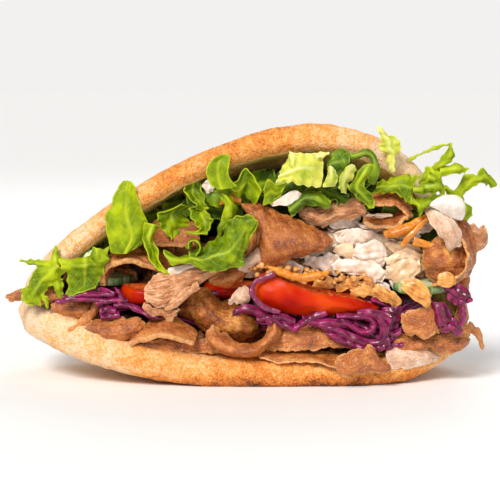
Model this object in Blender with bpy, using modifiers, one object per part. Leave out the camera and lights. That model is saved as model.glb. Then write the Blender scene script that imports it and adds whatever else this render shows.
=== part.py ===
"""Doner kebab sandwich: a flatbread folded open like a clam, filled with shaved meat, salad and cabbage.

Frame: metres, +Z up, the open front of the bread towards -Y, +X to the right.
The origin lies on the small flat spot that the bread rests on.
"""

import math
import random

import bmesh
import bpy
import numpy as np
from mathutils import Euler, Matrix, Vector

MM = 0.001

# Bread: one flatbread, cut open along its front rim and still joined along its back and both ends.
BREAD_HALF_WIDTH = 105 * MM
BREAD_DEPTH = 98 * MM            # from the front rim to the back fold, at the middle
BREAD_END_DEPTH = 18 * MM        # the same at the joined ends
BREAD_BACK_Y = 46 * MM           # the back fold, at the middle
BREAD_BACK_SWEEP = 34 * MM       # how far the fold curves forward towards the ends
BREAD_SINK = 1.5 * MM            # the slab is made this much too low, then cut off flat
FOLD_Z = 26 * MM                 # height of the fold
FOLD_LIFT_LEFT = 8 * MM          # how much higher it runs at the left end
LIFT_LEFT = 24 * MM              # how far the underside curls up at the left end
LIFT_RIGHT = 16 * MM
END_TOP_Z = 32 * MM              # height of the top rim at the ends
MOUTH_HEIGHT = 82 * MM           # what the gaping mouth adds to that at the middle
MOUTH_LEAN = 0.41                # the mouth gapes this share wider to the right
MOUTH_SET_BACK = 8 * MM          # the top rim stands this far behind the bottom rim
LOW_CRUST = 11.5 * MM            # slab thickness at the bottom rim
TOP_CRUST = 12.5 * MM            # slab thickness at the top rim
END_CRUST_GAIN = 8 * MM          # extra thickness where the halves are still joined
LEFT_LIP = 6 * MM                # the bottom rim stands up this much more at the left
RIM_BULGE = 4 * MM               # how far the rims round out
END_TAPER = 0.3                  # the very ends draw in by this share
LOW_SQUARENESS = 4.0             # superellipse power of the lower half: flat underneath
TOP_SQUARENESS = 1.75            # and of the upper half: a nearly straight slope

MEAT_THICK = 2.4 * MM
LEAF_THICK = 1.2 * MM
CARROT_THICK = 2 * MM
ONION_THICK = 1.4 * MM
END_ROUNDING = 0.25              # a strip narrows by this share towards its ends
NOTCH_DEPTH = 0.45               # and a leaf's notches cut in by this share
GAP = 0.5 * MM                   # left between neighbours that touch

# The inner layers are set at these places across the bread, from its left end to its right.
LAYER_STOPS = (-0.90, -0.55, -0.10, 0.35, 0.90)
LAYER_REACH = 0.87               # share of the bread's half width that the layers fill
LAYER_BACK = 0.90                # share of the pocket's depth that they fill

COLOURS = {
    "bread": ((0.80, 0.52, 0.26, 1), 0.85),
    "meat": ((0.30, 0.14, 0.07, 1), 0.55),
    "lettuce": ((0.25, 0.46, 0.04, 1), 0.45),
    "pale_lettuce": ((0.66, 0.70, 0.22, 1), 0.45),
    "red_cabbage": ((0.28, 0.03, 0.16, 1), 0.35),
    "white_cabbage": ((0.82, 0.70, 0.55, 1), 0.40),
    "tomato": ((0.62, 0.05, 0.01, 1), 0.25),
    "cucumber": ((0.30, 0.45, 0.14, 1), 0.30),
    "carrot": ((0.80, 0.27, 0.03, 1), 0.40),
    "onion": ((0.85, 0.78, 0.70, 1), 0.30),
    "red_onion": ((0.33, 0.04, 0.17, 1), 0.30),
}


def clear_scene():
    for obj in list(bpy.data.objects):
        bpy.data.objects.remove(obj, do_unlink=True)


def material(kind):
    found = bpy.data.materials.get(kind)
    if found:
        return found
    colour, roughness = COLOURS[kind]
    made = bpy.data.materials.new(kind)
    made.use_nodes = True
    shader = made.node_tree.nodes["Principled BSDF"]
    shader.inputs["Base Color"].default_value = colour
    shader.inputs["Roughness"].default_value = roughness
    shader.inputs["Metallic"].default_value = 0.0
    return made


def add_object(name, bm, kind):
    mesh = bpy.data.meshes.new(name)
    bm.to_mesh(mesh)
    bm.free()
    mesh.shade_smooth()
    obj = bpy.data.objects.new(name, mesh)
    obj.data.materials.append(material(kind))
    obj.parent = SANDWICH
    SANDWICH.users_collection[0].objects.link(obj)
    return obj


def place_by_middle(obj, at, angles):
    """Turn an object by angles in degrees, then bring the middle of its box to at, in millimetres."""
    obj.rotation_euler = Euler([math.radians(angle) for angle in angles], "XYZ")
    turn = obj.rotation_euler.to_matrix()
    turned = [turn @ vert.co for vert in obj.data.vertices]
    middle = Vector([(min(co[i] for co in turned) + max(co[i] for co in turned)) / 2 for i in range(3)])
    obj.data.transform(Matrix.Translation(turn.inverted() @ -middle))
    obj.location = Vector(at) * MM


def block(cells, place):
    """A cube's surface cut into cells[0] x cells[1] x cells[2], each point moved to place(s, t, w).

    s, t and w run from -1 to 1 across the cube.
    """
    bm = bmesh.new()
    bmesh.ops.create_cube(bm, size=2)
    for axis, count in enumerate(cells):
        normal = Vector([float(axis == i) for i in range(3)])
        for cut in range(1, count):
            everything = bm.verts[:] + bm.edges[:] + bm.faces[:]
            place_of_cut = normal * (2 * cut / count - 1)
            bmesh.ops.bisect_plane(bm, geom=everything, plane_co=place_of_cut, plane_no=normal)
    for vert in bm.verts:
        vert.co = place(*vert.co)
    if bm.calc_volume(signed=True) < 0:
        bmesh.ops.reverse_faces(bm, faces=bm.faces[:])
    return bm


# --- the bread's shape, which the inner layers follow too ---------------------------------------------


class Station:
    """The bread's C-shaped section at one place across its width; across runs from -1 to 1."""

    def __init__(self, across):
        leftness = across * across if across < 0 else 0.0
        roundness = math.sqrt(max(0.0, 1 - across * across))
        gain = END_CRUST_GAIN * across**2
        lift = LIFT_LEFT * leftness if across < 0 else LIFT_RIGHT * across**6
        self.x = across * BREAD_HALF_WIDTH
        self.depth = BREAD_END_DEPTH + (BREAD_DEPTH - BREAD_END_DEPTH) * roundness
        self.rim_y = BREAD_BACK_Y - BREAD_BACK_SWEEP * across**2 - self.depth
        self.set_back = MOUTH_SET_BACK * roundness
        self.fold_z = FOLD_Z + FOLD_LIFT_LEFT * leftness
        self.drop = self.fold_z + BREAD_SINK - lift
        self.rise = END_TOP_Z + MOUTH_HEIGHT * (1 + MOUTH_LEAN * across) * roundness - self.fold_z
        self.low_crust = min(LOW_CRUST + gain, 0.85 * self.drop)
        self.top_crust = min(TOP_CRUST + 0.4 * gain, 0.8 * self.rise)
        self.back_crust = min(TOP_CRUST, 0.7 * self.depth)
        self.lip = LEFT_LIP * leftness * min(1.0, 3 * roundness)

    def point(self, turn, inward):
        """A point of the section: turn runs from -1, the bottom rim, round the fold to 1, the top rim."""
        angle = turn * math.pi / 2
        upper = turn > 0
        power = 2 / (TOP_SQUARENESS if upper else LOW_SQUARENESS)
        set_back = self.set_back * max(0.0, turn)
        deep = self.depth - set_back - self.back_crust * inward
        high = (self.rise - self.top_crust * inward) if upper else (self.drop - self.low_crust * inward)
        y = self.rim_y + set_back + deep * max(0.0, math.cos(angle)) ** power
        z = self.fold_z + math.copysign(high * abs(math.sin(angle)) ** power, turn)
        if not upper:
            z += self.lip * inward * turn**4
        return y, z

    def hollow(self, y):
        """The pocket's floor and ceiling heights at depth y."""
        floor_share = max(0.0, y - self.rim_y) / (self.depth - self.back_crust)
        roof_share = max(0.0, y - self.rim_y - self.set_back) / (self.depth - self.set_back - self.back_crust)
        down = (1 - min(0.99, floor_share) ** LOW_SQUARENESS) ** (1 / LOW_SQUARENESS)
        up = (1 - min(0.99, roof_share) ** TOP_SQUARENESS) ** (1 / TOP_SQUARENESS)
        turn = math.asin(down ** (LOW_SQUARENESS / 2)) * 2 / math.pi
        floor = self.fold_z - (self.drop - self.low_crust) * down + self.lip * turn**4
        roof = self.fold_z + (self.rise - self.top_crust) * up
        return floor, roof


def bread_point(s, t, w):
    """s runs across the bread, t round its section, w from the inner face (-1) to the crust (1)."""
    across = 0.995 * math.sin(s * math.pi / 2)
    station = Station(across)
    y, z = station.point(t, (1 - w) / 2)
    rounding = RIM_BULGE * (1 - w * w)
    if abs(t) > 0.999:
        y -= rounding
    x = station.x
    if abs(s) > 0.999:
        x += math.copysign(0.7 * rounding, s)
        y += END_TAPER * (station.rim_y + station.depth / 2 - y)
        z += END_TAPER * (station.fold_z - z)
    return Vector((x, y, z))


def make_bread():
    bm = block((20, 14, 2), bread_point)
    geometry = bm.verts[:] + bm.edges[:] + bm.faces[:]
    cut = bmesh.ops.bisect_plane(bm, geom=geometry, plane_co=(0, 0, 0), plane_no=(0, 0, -1), clear_outer=True)
    edges = [item for item in cut["geom_cut"] if isinstance(item, bmesh.types.BMEdge)]
    bmesh.ops.holes_fill(bm, edges=edges)
    return add_object("bread", bm, "bread")


def make_layer(name, kind, low, high, set_in, cells=(14, 4, 2), bump=1.2, seed=0):
    """A layer of the filling that runs from near the rim to the back of the pocket.

    low and high are shares of the pocket's height, and set_in the millimetres that its front edge stands
    behind the bread's bottom rim, each at LAYER_STOPS.
    """
    rng = random.Random(seed)
    bumps = {}

    def uneven(*key):
        key = tuple(round(value, 3) for value in key)
        if key not in bumps:
            bumps[key] = rng.uniform(0, 2)
        return bumps[key]

    def place(s, t, w):
        across = LAYER_REACH * math.sin(s * math.pi / 2 * 0.97)
        station = Station(across)
        front = station.rim_y + np.interp(across, LAYER_STOPS, set_in) * MM
        back = station.rim_y + LAYER_BACK * (station.depth - station.back_crust)
        y = front + (back - front) * (t + 1) / 2
        floor, roof = station.hollow(y)
        share = np.interp(across, LAYER_STOPS, low if w < 0 else high)
        if abs(w) < 0.5:
            share = (share + np.interp(across, LAYER_STOPS, low)) / 2
        z = floor + GAP + share * (roof - floor - 2 * GAP) - w * GAP
        if t < -0.99:
            y -= bump * MM * uneven(s, w) * (1 - 0.7 * abs(w))
        return Vector((station.x, y, z))

    return add_object(name, block(cells, place), kind)


# --- strips: slices of meat, leaves, shreds ----------------------------------------------------------


def strip_path(length, bends, stations):
    """Points of a strip's middle line in its own XZ plane, and its headings.

    bends are the degrees that it turns over each equal stretch of its length. The line starts with half the
    total turn the other way, so that it lies level as a whole.
    """
    heading = -sum(bends) / 2
    x, z = 0.0, 0.0
    points = [(x, z, heading)]
    fine = 8
    for i in range(stations * fine):
        share = (i + 0.5) / (stations * fine)
        rate = bends[min(len(bends) - 1, int(share * len(bends)))] * len(bends) / (stations * fine)
        heading += rate / 2
        x += length / (stations * fine) * math.cos(math.radians(heading))
        z += length / (stations * fine) * math.sin(math.radians(heading))
        heading += rate / 2
        if (i + 1) % fine == 0:
            points.append((x, z, heading))
    return points


def strip(
    name,
    kind,
    length,
    width,
    at,
    bends=(0,),
    cup=0.0,
    tilt=0.0,
    roll=0.0,
    yaw=0.0,
    ends=(1.0, 1.0),
    thick=MEAT_THICK,
    ragged=0.08,
    ruffle=0.0,
    waves=3.0,
    lobes=0,
    cells=(7, 3),
    seed=1,
):
    """A bent sheet, sizes and place in millimetres, angles in degrees.

    Its length lies along X and its width along Y before it is turned: tilt raises it to face the front,
    roll turns it clockwise as seen from the front, and yaw swings its right end back. cup hollows it across
    its width, ends widens or narrows its left and right end, and lobes cuts that many notches into each long
    edge. at is the middle of its own bounding box.
    """
    rng = random.Random(seed)
    path = strip_path(length, bends, cells[0])
    phase = rng.uniform(0, 2 * math.pi)
    bm = bmesh.new()
    bmesh.ops.create_grid(bm, x_segments=cells[0], y_segments=cells[1], size=1)
    for vert in bm.verts:
        s, t = vert.co.x, vert.co.y
        share = (s + 1) / 2
        x, z, heading = path[round(share * cells[0])]
        half = width / 2 * (ends[0] + (ends[1] - ends[0]) * share) * (1 - END_ROUNDING * s**4)
        if abs(t) > 0.99:
            half *= 1 + rng.uniform(-ragged, ragged)
        if abs(t) > 0.99 and lobes:
            notch = math.sin(2 * math.pi * lobes * share + (phase if t > 0 else 2.2 * phase))
            half *= 1 - NOTCH_DEPTH * max(0.0, notch)
        wave = math.sin(2 * math.pi * waves * share + phase + t)
        out = cup * (t * t - 0.35) + ruffle * abs(t) ** 1.5 * wave
        if abs(s) > 0.99:
            x += rng.uniform(-ragged, ragged) * width / 2
        across = Euler((0, -math.radians(heading), 0)).to_matrix() @ Vector((0, t * half, out))
        vert.co = (Vector((x, 0, z)) + across) * MM
    obj = add_object(name, bm, kind)
    place_by_middle(obj, at, (tilt, roll, yaw))
    solidify = obj.modifiers.new("thickness", "SOLIDIFY")
    solidify.thickness = thick
    solidify.offset = 0
    return obj


def meat(name, length, width, at, **shape):
    return strip(f"meat_{name}", "meat", length, width, at, **shape)


def leaf(name, length, width, at, kind="lettuce", **shape):
    shape = {"ruffle": 1.8, "waves": 1.7, "thick": LEAF_THICK, "cells": (10, 2), "lobes": 2.5, **shape}
    return strip(f"leaf_{name}", kind, length, width, at, **shape)


def shred(name, kind, length, width, at, **shape):
    return strip(name, kind, length, width, at, **{"cells": (8, 1), "ragged": 0.05, **shape})


# --- round slices -----------------------------------------------------------------------------------


def round_slice(name, kind, radius, thick, at, tilt=0.0, roll=0.0, kept=1.0, sides=20):
    """A disc with softened rims, kept from its front edge back over that share of its diameter."""
    bm = bmesh.new()
    size = {"radius1": radius * MM, "radius2": radius * MM, "depth": thick * MM}
    bmesh.ops.create_cone(bm, cap_ends=True, segments=sides, **size)
    rims = [edge for edge in bm.edges if abs(edge.verts[0].co.z - edge.verts[1].co.z) < GAP]
    bmesh.ops.bevel(bm, geom=rims, offset=0.25 * thick * MM, segments=1, affect="EDGES")
    if kept < 1:
        everything = bm.verts[:] + bm.edges[:] + bm.faces[:]
        end = Vector((0, (2 * kept - 1) * radius * MM, 0))
        cut = bmesh.ops.bisect_plane(bm, geom=everything, plane_co=end, plane_no=(0, 1, 0), clear_outer=True)
        edges = [item for item in cut["geom_cut"] if isinstance(item, bmesh.types.BMEdge)]
        bmesh.ops.holes_fill(bm, edges=edges)
    obj = add_object(name, bm, kind)
    obj.data.set_sharp_from_angle(angle=math.radians(40))
    place_by_middle(obj, at, (tilt, roll, 0))
    return obj


# --- the filling, piece by piece ---------------------------------------------------------------------


def make_layers():
    low_meat_top = (0.45, 0.20, 0.17, 0.13, 0.06)
    cabbage_top = (0.75, 0.40, 0.27, 0.25, 0.36)
    high_meat_top = (0.84, 0.85, 0.77, 0.75, 0.76)
    make_layer("layer_meat_low", "meat", (0,) * 5, low_meat_top, set_in=(15, 22, 27, 27, 18), seed=1)
    make_layer(
        "layer_red_cabbage", "red_cabbage", low_meat_top, cabbage_top, set_in=(16, 14, 30, 12, 10), seed=2,
    )
    make_layer(
        "layer_meat_high", "meat", cabbage_top, high_meat_top, set_in=(20, 34, 43, 36, 14), seed=3,
    )
    make_layer(
        "layer_lettuce", "lettuce", high_meat_top, (0.96,) * 5, set_in=(20, 22, 19, 19, 18), seed=4,
    )


def make_white_cabbage():
    """A loose heap of shreds that hangs out over the tomato, one solid out to its uneven outline."""
    width, depth, height = 54, 15, 26
    rng = random.Random(5)

    def place(s, t, w):
        round_off = 1 / math.sqrt(1 + 0.45 * (s * s * t * t + t * t * w * w + s * s * w * w))
        size = Vector((width * s, depth * t, height * w)) / 2
        size *= round_off * (1 + rng.uniform(-0.09, 0.09))
        size.x -= 5 * w
        return size * MM

    obj = add_object("white_cabbage", block((6, 2, 3), place), "white_cabbage")
    obj.location = Vector((56, -34, 61.5)) * MM


def make_lower_meat():
    meat("tip", 24, 10, at=(-101, -36.5, 39.5), tilt=25, roll=6, bends=(-20, 10), seed=11)
    meat("flat", 24, 13, at=(-78, -40, 39), tilt=64, roll=10, bends=(-15,), seed=12)
    meat("slab", 26, 12, at=(-60, -48.5, 28), tilt=66, roll=8, bends=(-25,), seed=14)
    meat("arch", 40, 16, at=(-34, -49, 26), tilt=14, bends=(-25, -55, -55, -25), seed=15)
    meat("cup", 48, 14, at=(0, -51, 22.5), tilt=24, roll=-6, bends=(40, 60, 40), seed=17)
    meat("chunk", 38, 24, at=(-8, -36.5, 31), tilt=76, roll=6, bends=(-40,), cup=-4, seed=18)
    meat("serrated", 40, 13, at=(35, -46, 22.5), tilt=62, bends=(-12,), ragged=0.2, seed=19)
    meat("ledge", 34, 11, at=(30, -49, 13.5), tilt=6, seed=20)
    meat(
        "flap", 30, 17, at=(54, -58, 13), tilt=72, roll=14, bends=(-10,), cup=2, ends=(0.7, 1.0), seed=21,
    )
    meat("right_low", 28, 12, at=(79, -45, 20), tilt=38, roll=-4, yaw=14, bends=(-20,), seed=22)
    meat("right_face", 20, 18, at=(83, -50, 32), tilt=78, yaw=16, bends=(-30,), seed=23)
    meat("right_ledge", 20, 12, at=(98, -38.5, 25), tilt=30, yaw=30, bends=(-20,), seed=24)


def make_upper_meat():
    meat(
        "diagonal", 46, 15, at=(-24, -50, 46), tilt=66, roll=-24, bends=(-25, 0), ends=(1.1, 0.7), seed=31,
    )
    meat("curl", 50, 20, at=(-44, -37, 56.5), tilt=28, roll=-14, bends=(-70, -60, -30), seed=32)
    meat("behind_leaf", 24, 13, at=(-32, -38.5, 69.5), tilt=60, bends=(-20,), seed=33)
    meat("hook", 42, 14, at=(2, -36.5, 60.5), tilt=0, roll=-62, bends=(-10, -40, -60), seed=34)
    meat(
        "broad", 42, 28, at=(23, -45.5, 68.5),
        tilt=68, roll=22, bends=(-35,), cup=-4, ends=(1.1, 0.4), seed=35,
    )
    meat("ragged_top", 34, 13, at=(46, -39, 79.5), tilt=52, roll=-6, bends=(-15,), ragged=0.25, seed=36)
    meat("pocket_roof", 22, 14, at=(67, -39.5, 86.5), tilt=12, roll=8, bends=(-20,), seed=37)
    meat("pocket_floor", 22, 14, at=(71, -40, 76), tilt=18, roll=-8, bends=(20,), seed=38)
    meat(
        "big_curl", 58, 17, at=(102, -43.5, 56),
        tilt=30, roll=70, bends=(-80, -80, -60), cells=(10, 3), seed=39,
    )
    meat("right_flap", 16, 15, at=(111, -32.5, 69), tilt=80, yaw=30, bends=(-15,), ragged=0.2, seed=40)
    meat(
        "right_rag", 34, 9, at=(110, -28, 37),
        tilt=80, roll=84, yaw=20, bends=(20, -20), ragged=0.3, seed=41,
    )


def make_vegetables():
    round_slice("tomato_front", "tomato", 31, 9, at=(31, -35.5, 46), tilt=9, roll=6, kept=0.42)
    round_slice("tomato_middle", "tomato", 15, 5, at=(-3, -24, 41), tilt=8, kept=0.5, sides=16)
    round_slice("tomato_left", "tomato", 12, 7, at=(-44, -41.5, 41.5), tilt=10, kept=0.5, sides=16)
    round_slice("cucumber_left", "cucumber", 14, 4, at=(-63, -28, 47), tilt=4, kept=0.6, sides=18)
    round_slice("cucumber_right", "cucumber", 13, 4, at=(83, -43, 45), tilt=8, kept=0.6, sides=18)
    round_slice("cucumber_upper", "cucumber", 7, 3, at=(-67, -42, 56), tilt=60, roll=-20, sides=14)
    shred(
        "carrot_upper", "carrot", 28, 5, at=(76, -45, 70.5),
        tilt=60, roll=-30, bends=(-15, 30), thick=CARROT_THICK,
    )
    shred(
        "carrot_curve", "carrot", 24, 4, at=(88, -47, 64),
        tilt=60, bends=(30, 30), thick=CARROT_THICK, seed=2,
    )
    shred(
        "carrot_low", "carrot", 28, 4, at=(26, -53.5, 53), tilt=60, roll=14, thick=CARROT_THICK, seed=3,
    )
    shred(
        "onion_ring", "red_onion", 30, 3, at=(9, -54, 44),
        bends=(60, 70, 60), roll=62, thick=ONION_THICK, seed=4,
    )
    strip(
        "onion_slice", "onion", 17, 13, at=(97, -51, 83),
        tilt=66, roll=12, bends=(-30,), thick=2 * ONION_THICK,
    )
    strip(
        "cabbage_middle", "red_cabbage", 26, 17, at=(67, -46, 29),
        tilt=66, roll=-20, bends=(-40, 30), seed=71,
    )
    strip(
        "cabbage_right", "red_cabbage", 22, 16, at=(97, -52, 31),
        tilt=78, roll=64, yaw=20, bends=(-50,), seed=72,
    )


def make_leaves():
    leaf(
        "left_tip", 34, 24, at=(-91, -43.5, 48), tilt=80, roll=-36, ends=(0.8, 0.7), ragged=0.3, seed=51,
    )
    leaf("left_low", 34, 25, at=(-74, -49, 53.5), tilt=76, roll=-40, ends=(0.8, 1.0), seed=52)
    leaf(
        "tall", 40, 22, at=(-52, -50, 78),
        tilt=84, roll=-74, ruffle=1.2, bends=(20,), ends=(1.2, 0.7), lobes=1,
    )
    leaf("tall_branch", 30, 10, at=(-39, -53, 63), tilt=84, roll=60, ruffle=1.0, lobes=1, seed=54)
    leaf("frill_left", 27, 22, at=(-28, -43, 73.5), tilt=70, roll=10, ruffle=2.4, seed=55)
    leaf("frill_low", 38, 20, at=(-12, -58, 61.5), tilt=72, roll=-4, ruffle=2.6, bends=(-20,), seed=56)
    leaf("frill_mid", 26, 22, at=(-12, -48, 79), tilt=80, roll=70, ruffle=2.4, seed=57)
    leaf("up", 20, 15, at=(-9, -54.5, 98), tilt=82, roll=-72, ruffle=0.8, bends=(30,), lobes=1, seed=58)
    leaf("peak", 30, 19, at=(9, -50, 88), tilt=75, roll=24, ruffle=2.4, seed=59)
    leaf("pale", 26, 21, at=(28, -51, 98), kind="pale_lettuce", tilt=78, roll=-8, ruffle=2.2, seed=60)
    leaf("dark_top", 22, 15, at=(53, -50, 101), tilt=72, roll=-6, ruffle=1.6, bends=(-30,), seed=61)
    leaf("curl_down", 24, 13, at=(57, -58.5, 92), tilt=84, roll=66, ruffle=1.8, seed=62)
    leaf("loop", 26, 9, at=(32, -47, 86), tilt=40, roll=4, ruffle=1.2, bends=(-80,), lobes=1, seed=63)
    leaf("right_broad", 38, 22, at=(80, -49, 86), tilt=68, roll=2, yaw=12, ruffle=2.2, seed=64)
    leaf(
        "spike_top", 25, 12, at=(67, -51, 108), kind="pale_lettuce", tilt=84, roll=60, ragged=0.3, seed=65,
    )
    leaf("right_sprig", 30, 16, at=(89, -43, 105), tilt=80, roll=-16, yaw=16, ragged=0.3, seed=66)
    leaf(
        "far_right", 38, 16, at=(106, -37, 90),
        tilt=78, roll=-52, yaw=16, ruffle=1.2, bends=(-50,), seed=67,
    )


clear_scene()
COLLECTION = bpy.data.collections.new("doner_kebab_sandwich")
bpy.context.scene.collection.children.link(COLLECTION)
SANDWICH = bpy.data.objects.new("sandwich", None)
COLLECTION.objects.link(SANDWICH)
make_bread()
make_layers()
make_white_cabbage()
make_lower_meat()
make_upper_meat()
make_vegetables()
make_leaves()
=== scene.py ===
# %% [markdown]
# # A doner kebab sandwich
# The real thing is a round flatbread, slit along one side and folded open like a clam. Meat shaved from
# the spit, frilly lettuce, cabbage, tomato, cucumber, carrot and onion spill out of the slit. The packed
# solids say where each piece lies; this lesson models each piece again, finely, in the same place.

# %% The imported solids
import math
import random

import bmesh
import bpy
import numpy as np
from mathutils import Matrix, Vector


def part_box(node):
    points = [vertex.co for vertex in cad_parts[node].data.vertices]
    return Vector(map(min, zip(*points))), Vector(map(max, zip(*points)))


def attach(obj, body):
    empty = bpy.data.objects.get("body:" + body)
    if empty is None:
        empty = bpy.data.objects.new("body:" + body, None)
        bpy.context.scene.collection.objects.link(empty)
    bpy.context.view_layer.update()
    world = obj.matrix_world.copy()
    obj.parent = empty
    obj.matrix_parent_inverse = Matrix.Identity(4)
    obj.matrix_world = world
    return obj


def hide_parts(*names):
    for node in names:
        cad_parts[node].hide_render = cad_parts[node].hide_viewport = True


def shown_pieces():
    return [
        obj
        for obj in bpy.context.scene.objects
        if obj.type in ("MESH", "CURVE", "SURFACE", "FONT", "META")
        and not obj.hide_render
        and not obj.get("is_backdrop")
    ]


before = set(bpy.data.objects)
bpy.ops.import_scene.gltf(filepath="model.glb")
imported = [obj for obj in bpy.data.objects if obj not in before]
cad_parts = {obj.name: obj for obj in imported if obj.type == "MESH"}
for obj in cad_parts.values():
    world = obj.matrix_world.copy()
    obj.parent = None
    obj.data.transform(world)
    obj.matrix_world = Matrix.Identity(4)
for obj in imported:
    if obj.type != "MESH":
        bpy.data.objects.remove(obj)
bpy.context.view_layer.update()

MM = 0.001
print("nodes:", len(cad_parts))

# %% [markdown]
# ## Where things are
# Every piece is laid from the middle of its solid's box, or from a share of the way across that box, so it
# moves along if the solids ever change. A mesh's points are read and written as one table of numbers.

# %% Finding a place on the solids


def middle_of(node):
    low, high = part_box(node)
    return (Vector(low) + Vector(high)) / 2


def spot(node, right, back, up):
    """A point in a node's box: each number runs from 0, its low side, to 1, its high side."""
    low, high = (Vector(corner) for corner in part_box(node))
    return Vector((low.x + (high.x - low.x) * right, low.y + (high.y - low.y) * back, low.z + (high.z - low.z) * up))


def places_of(obj):
    """Where each vertex lies: one row of x, y and z for each."""
    places = np.empty(len(obj.data.vertices) * 3)
    obj.data.vertices.foreach_get("co", places)
    return places.reshape(-1, 3)


def move_to(obj, places):
    obj.data.vertices.foreach_set("co", places.ravel())
    obj.data.update()


def note(obj, **attributes):
    """Stores numbers on the vertices under a name, for a finish to read."""
    for name, values in attributes.items():
        obj.data.attributes.new(name, "FLOAT", "POINT").data.foreach_set("value", values.astype(np.float32))


# %% [markdown]
# ## Working as by hand
# An operator acts on whatever is selected, and the loaded solids start out selected. So each new piece
# starts from an empty selection, and a modifier is applied as soon as it has done its work.

# %% Small tools


def drop_selection():
    bpy.ops.object.select_all(action="DESELECT")


def pick(obj):
    drop_selection()
    obj.select_set(True)
    bpy.context.view_layer.objects.active = obj


def finish_modifier(obj, name, kind, **settings):
    """Adds a modifier, sets it and applies it."""
    pick(obj)
    modifier = obj.modifiers.new(name, kind)
    for setting, value in settings.items():
        setattr(modifier, setting, value)
    bpy.ops.object.modifier_apply(modifier=modifier.name)


def press(obj, grain, depth, coords="LOCAL"):
    """Presses a cloudy relief into a mesh: grain is the size of a lump and depth its height, in millimetres."""
    texture = bpy.data.textures.new(f"relief_{grain}", "CLOUDS")
    texture.noise_depth = 2
    texture.noise_scale = grain * MM if coords == "LOCAL" else grain
    finish_modifier(obj, "relief", "DISPLACE", texture=texture, texture_coords=coords, strength=depth * MM)


def select_where(kind, chosen):
    """In edit mode, selects the faces or edges that a rule picks."""
    mesh = bpy.context.object.data
    bpy.ops.mesh.select_mode(type=kind)
    bpy.ops.mesh.select_all(action="DESELECT")
    bm = bmesh.from_edit_mesh(mesh)
    for part in bm.faces if kind == "FACE" else bm.edges:
        part.select_set(chosen(part))
    bmesh.update_edit_mesh(mesh)


def joined(name, pieces):
    """Joins pieces into one mesh."""
    drop_selection()
    for piece in pieces:
        piece.select_set(True)
    bpy.context.view_layer.objects.active = pieces[0]
    if len(pieces) > 1:
        bpy.ops.object.join()
    pieces[0].name = name
    return pieces[0]


def linked_copy(obj):
    copy = obj.copy()
    copy.data = obj.data.copy()
    bpy.context.scene.collection.objects.link(copy)
    return copy


def set_down(obj, middle, tilt=0.0, roll=0.0, yaw=0.0):
    """Turns a piece (degrees) and brings the middle of its box to a point, all inside its mesh."""
    pick(obj)
    obj.location = (0, 0, 0)
    obj.rotation_euler = [math.radians(angle) for angle in (tilt, roll, yaw)]
    bpy.ops.object.transform_apply(location=True, rotation=True, scale=True)
    places = places_of(obj)
    obj.location = Vector(middle) - (Vector(places.min(axis=0)) + Vector(places.max(axis=0))) / 2
    bpy.ops.object.transform_apply(location=True, rotation=False, scale=False)


def serve(obj, finish, slot, *nodes):
    """Gives a finished piece its material and smooth shading, hangs it under the root body and hides the solids it
    stands for.
    """
    obj.data.materials.clear()
    obj.data.materials.append(finish)
    obj.data.shade_smooth()
    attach(obj, "root")
    if nodes:
        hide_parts(*nodes)
    return obj


# %% [markdown]
# ## A tool for finishes
# Every finish below is a Principled shader with a few noises behind it. The class only shortens the
# typing: each call adds one node, links it and hands back its output.

# %% Finish


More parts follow.
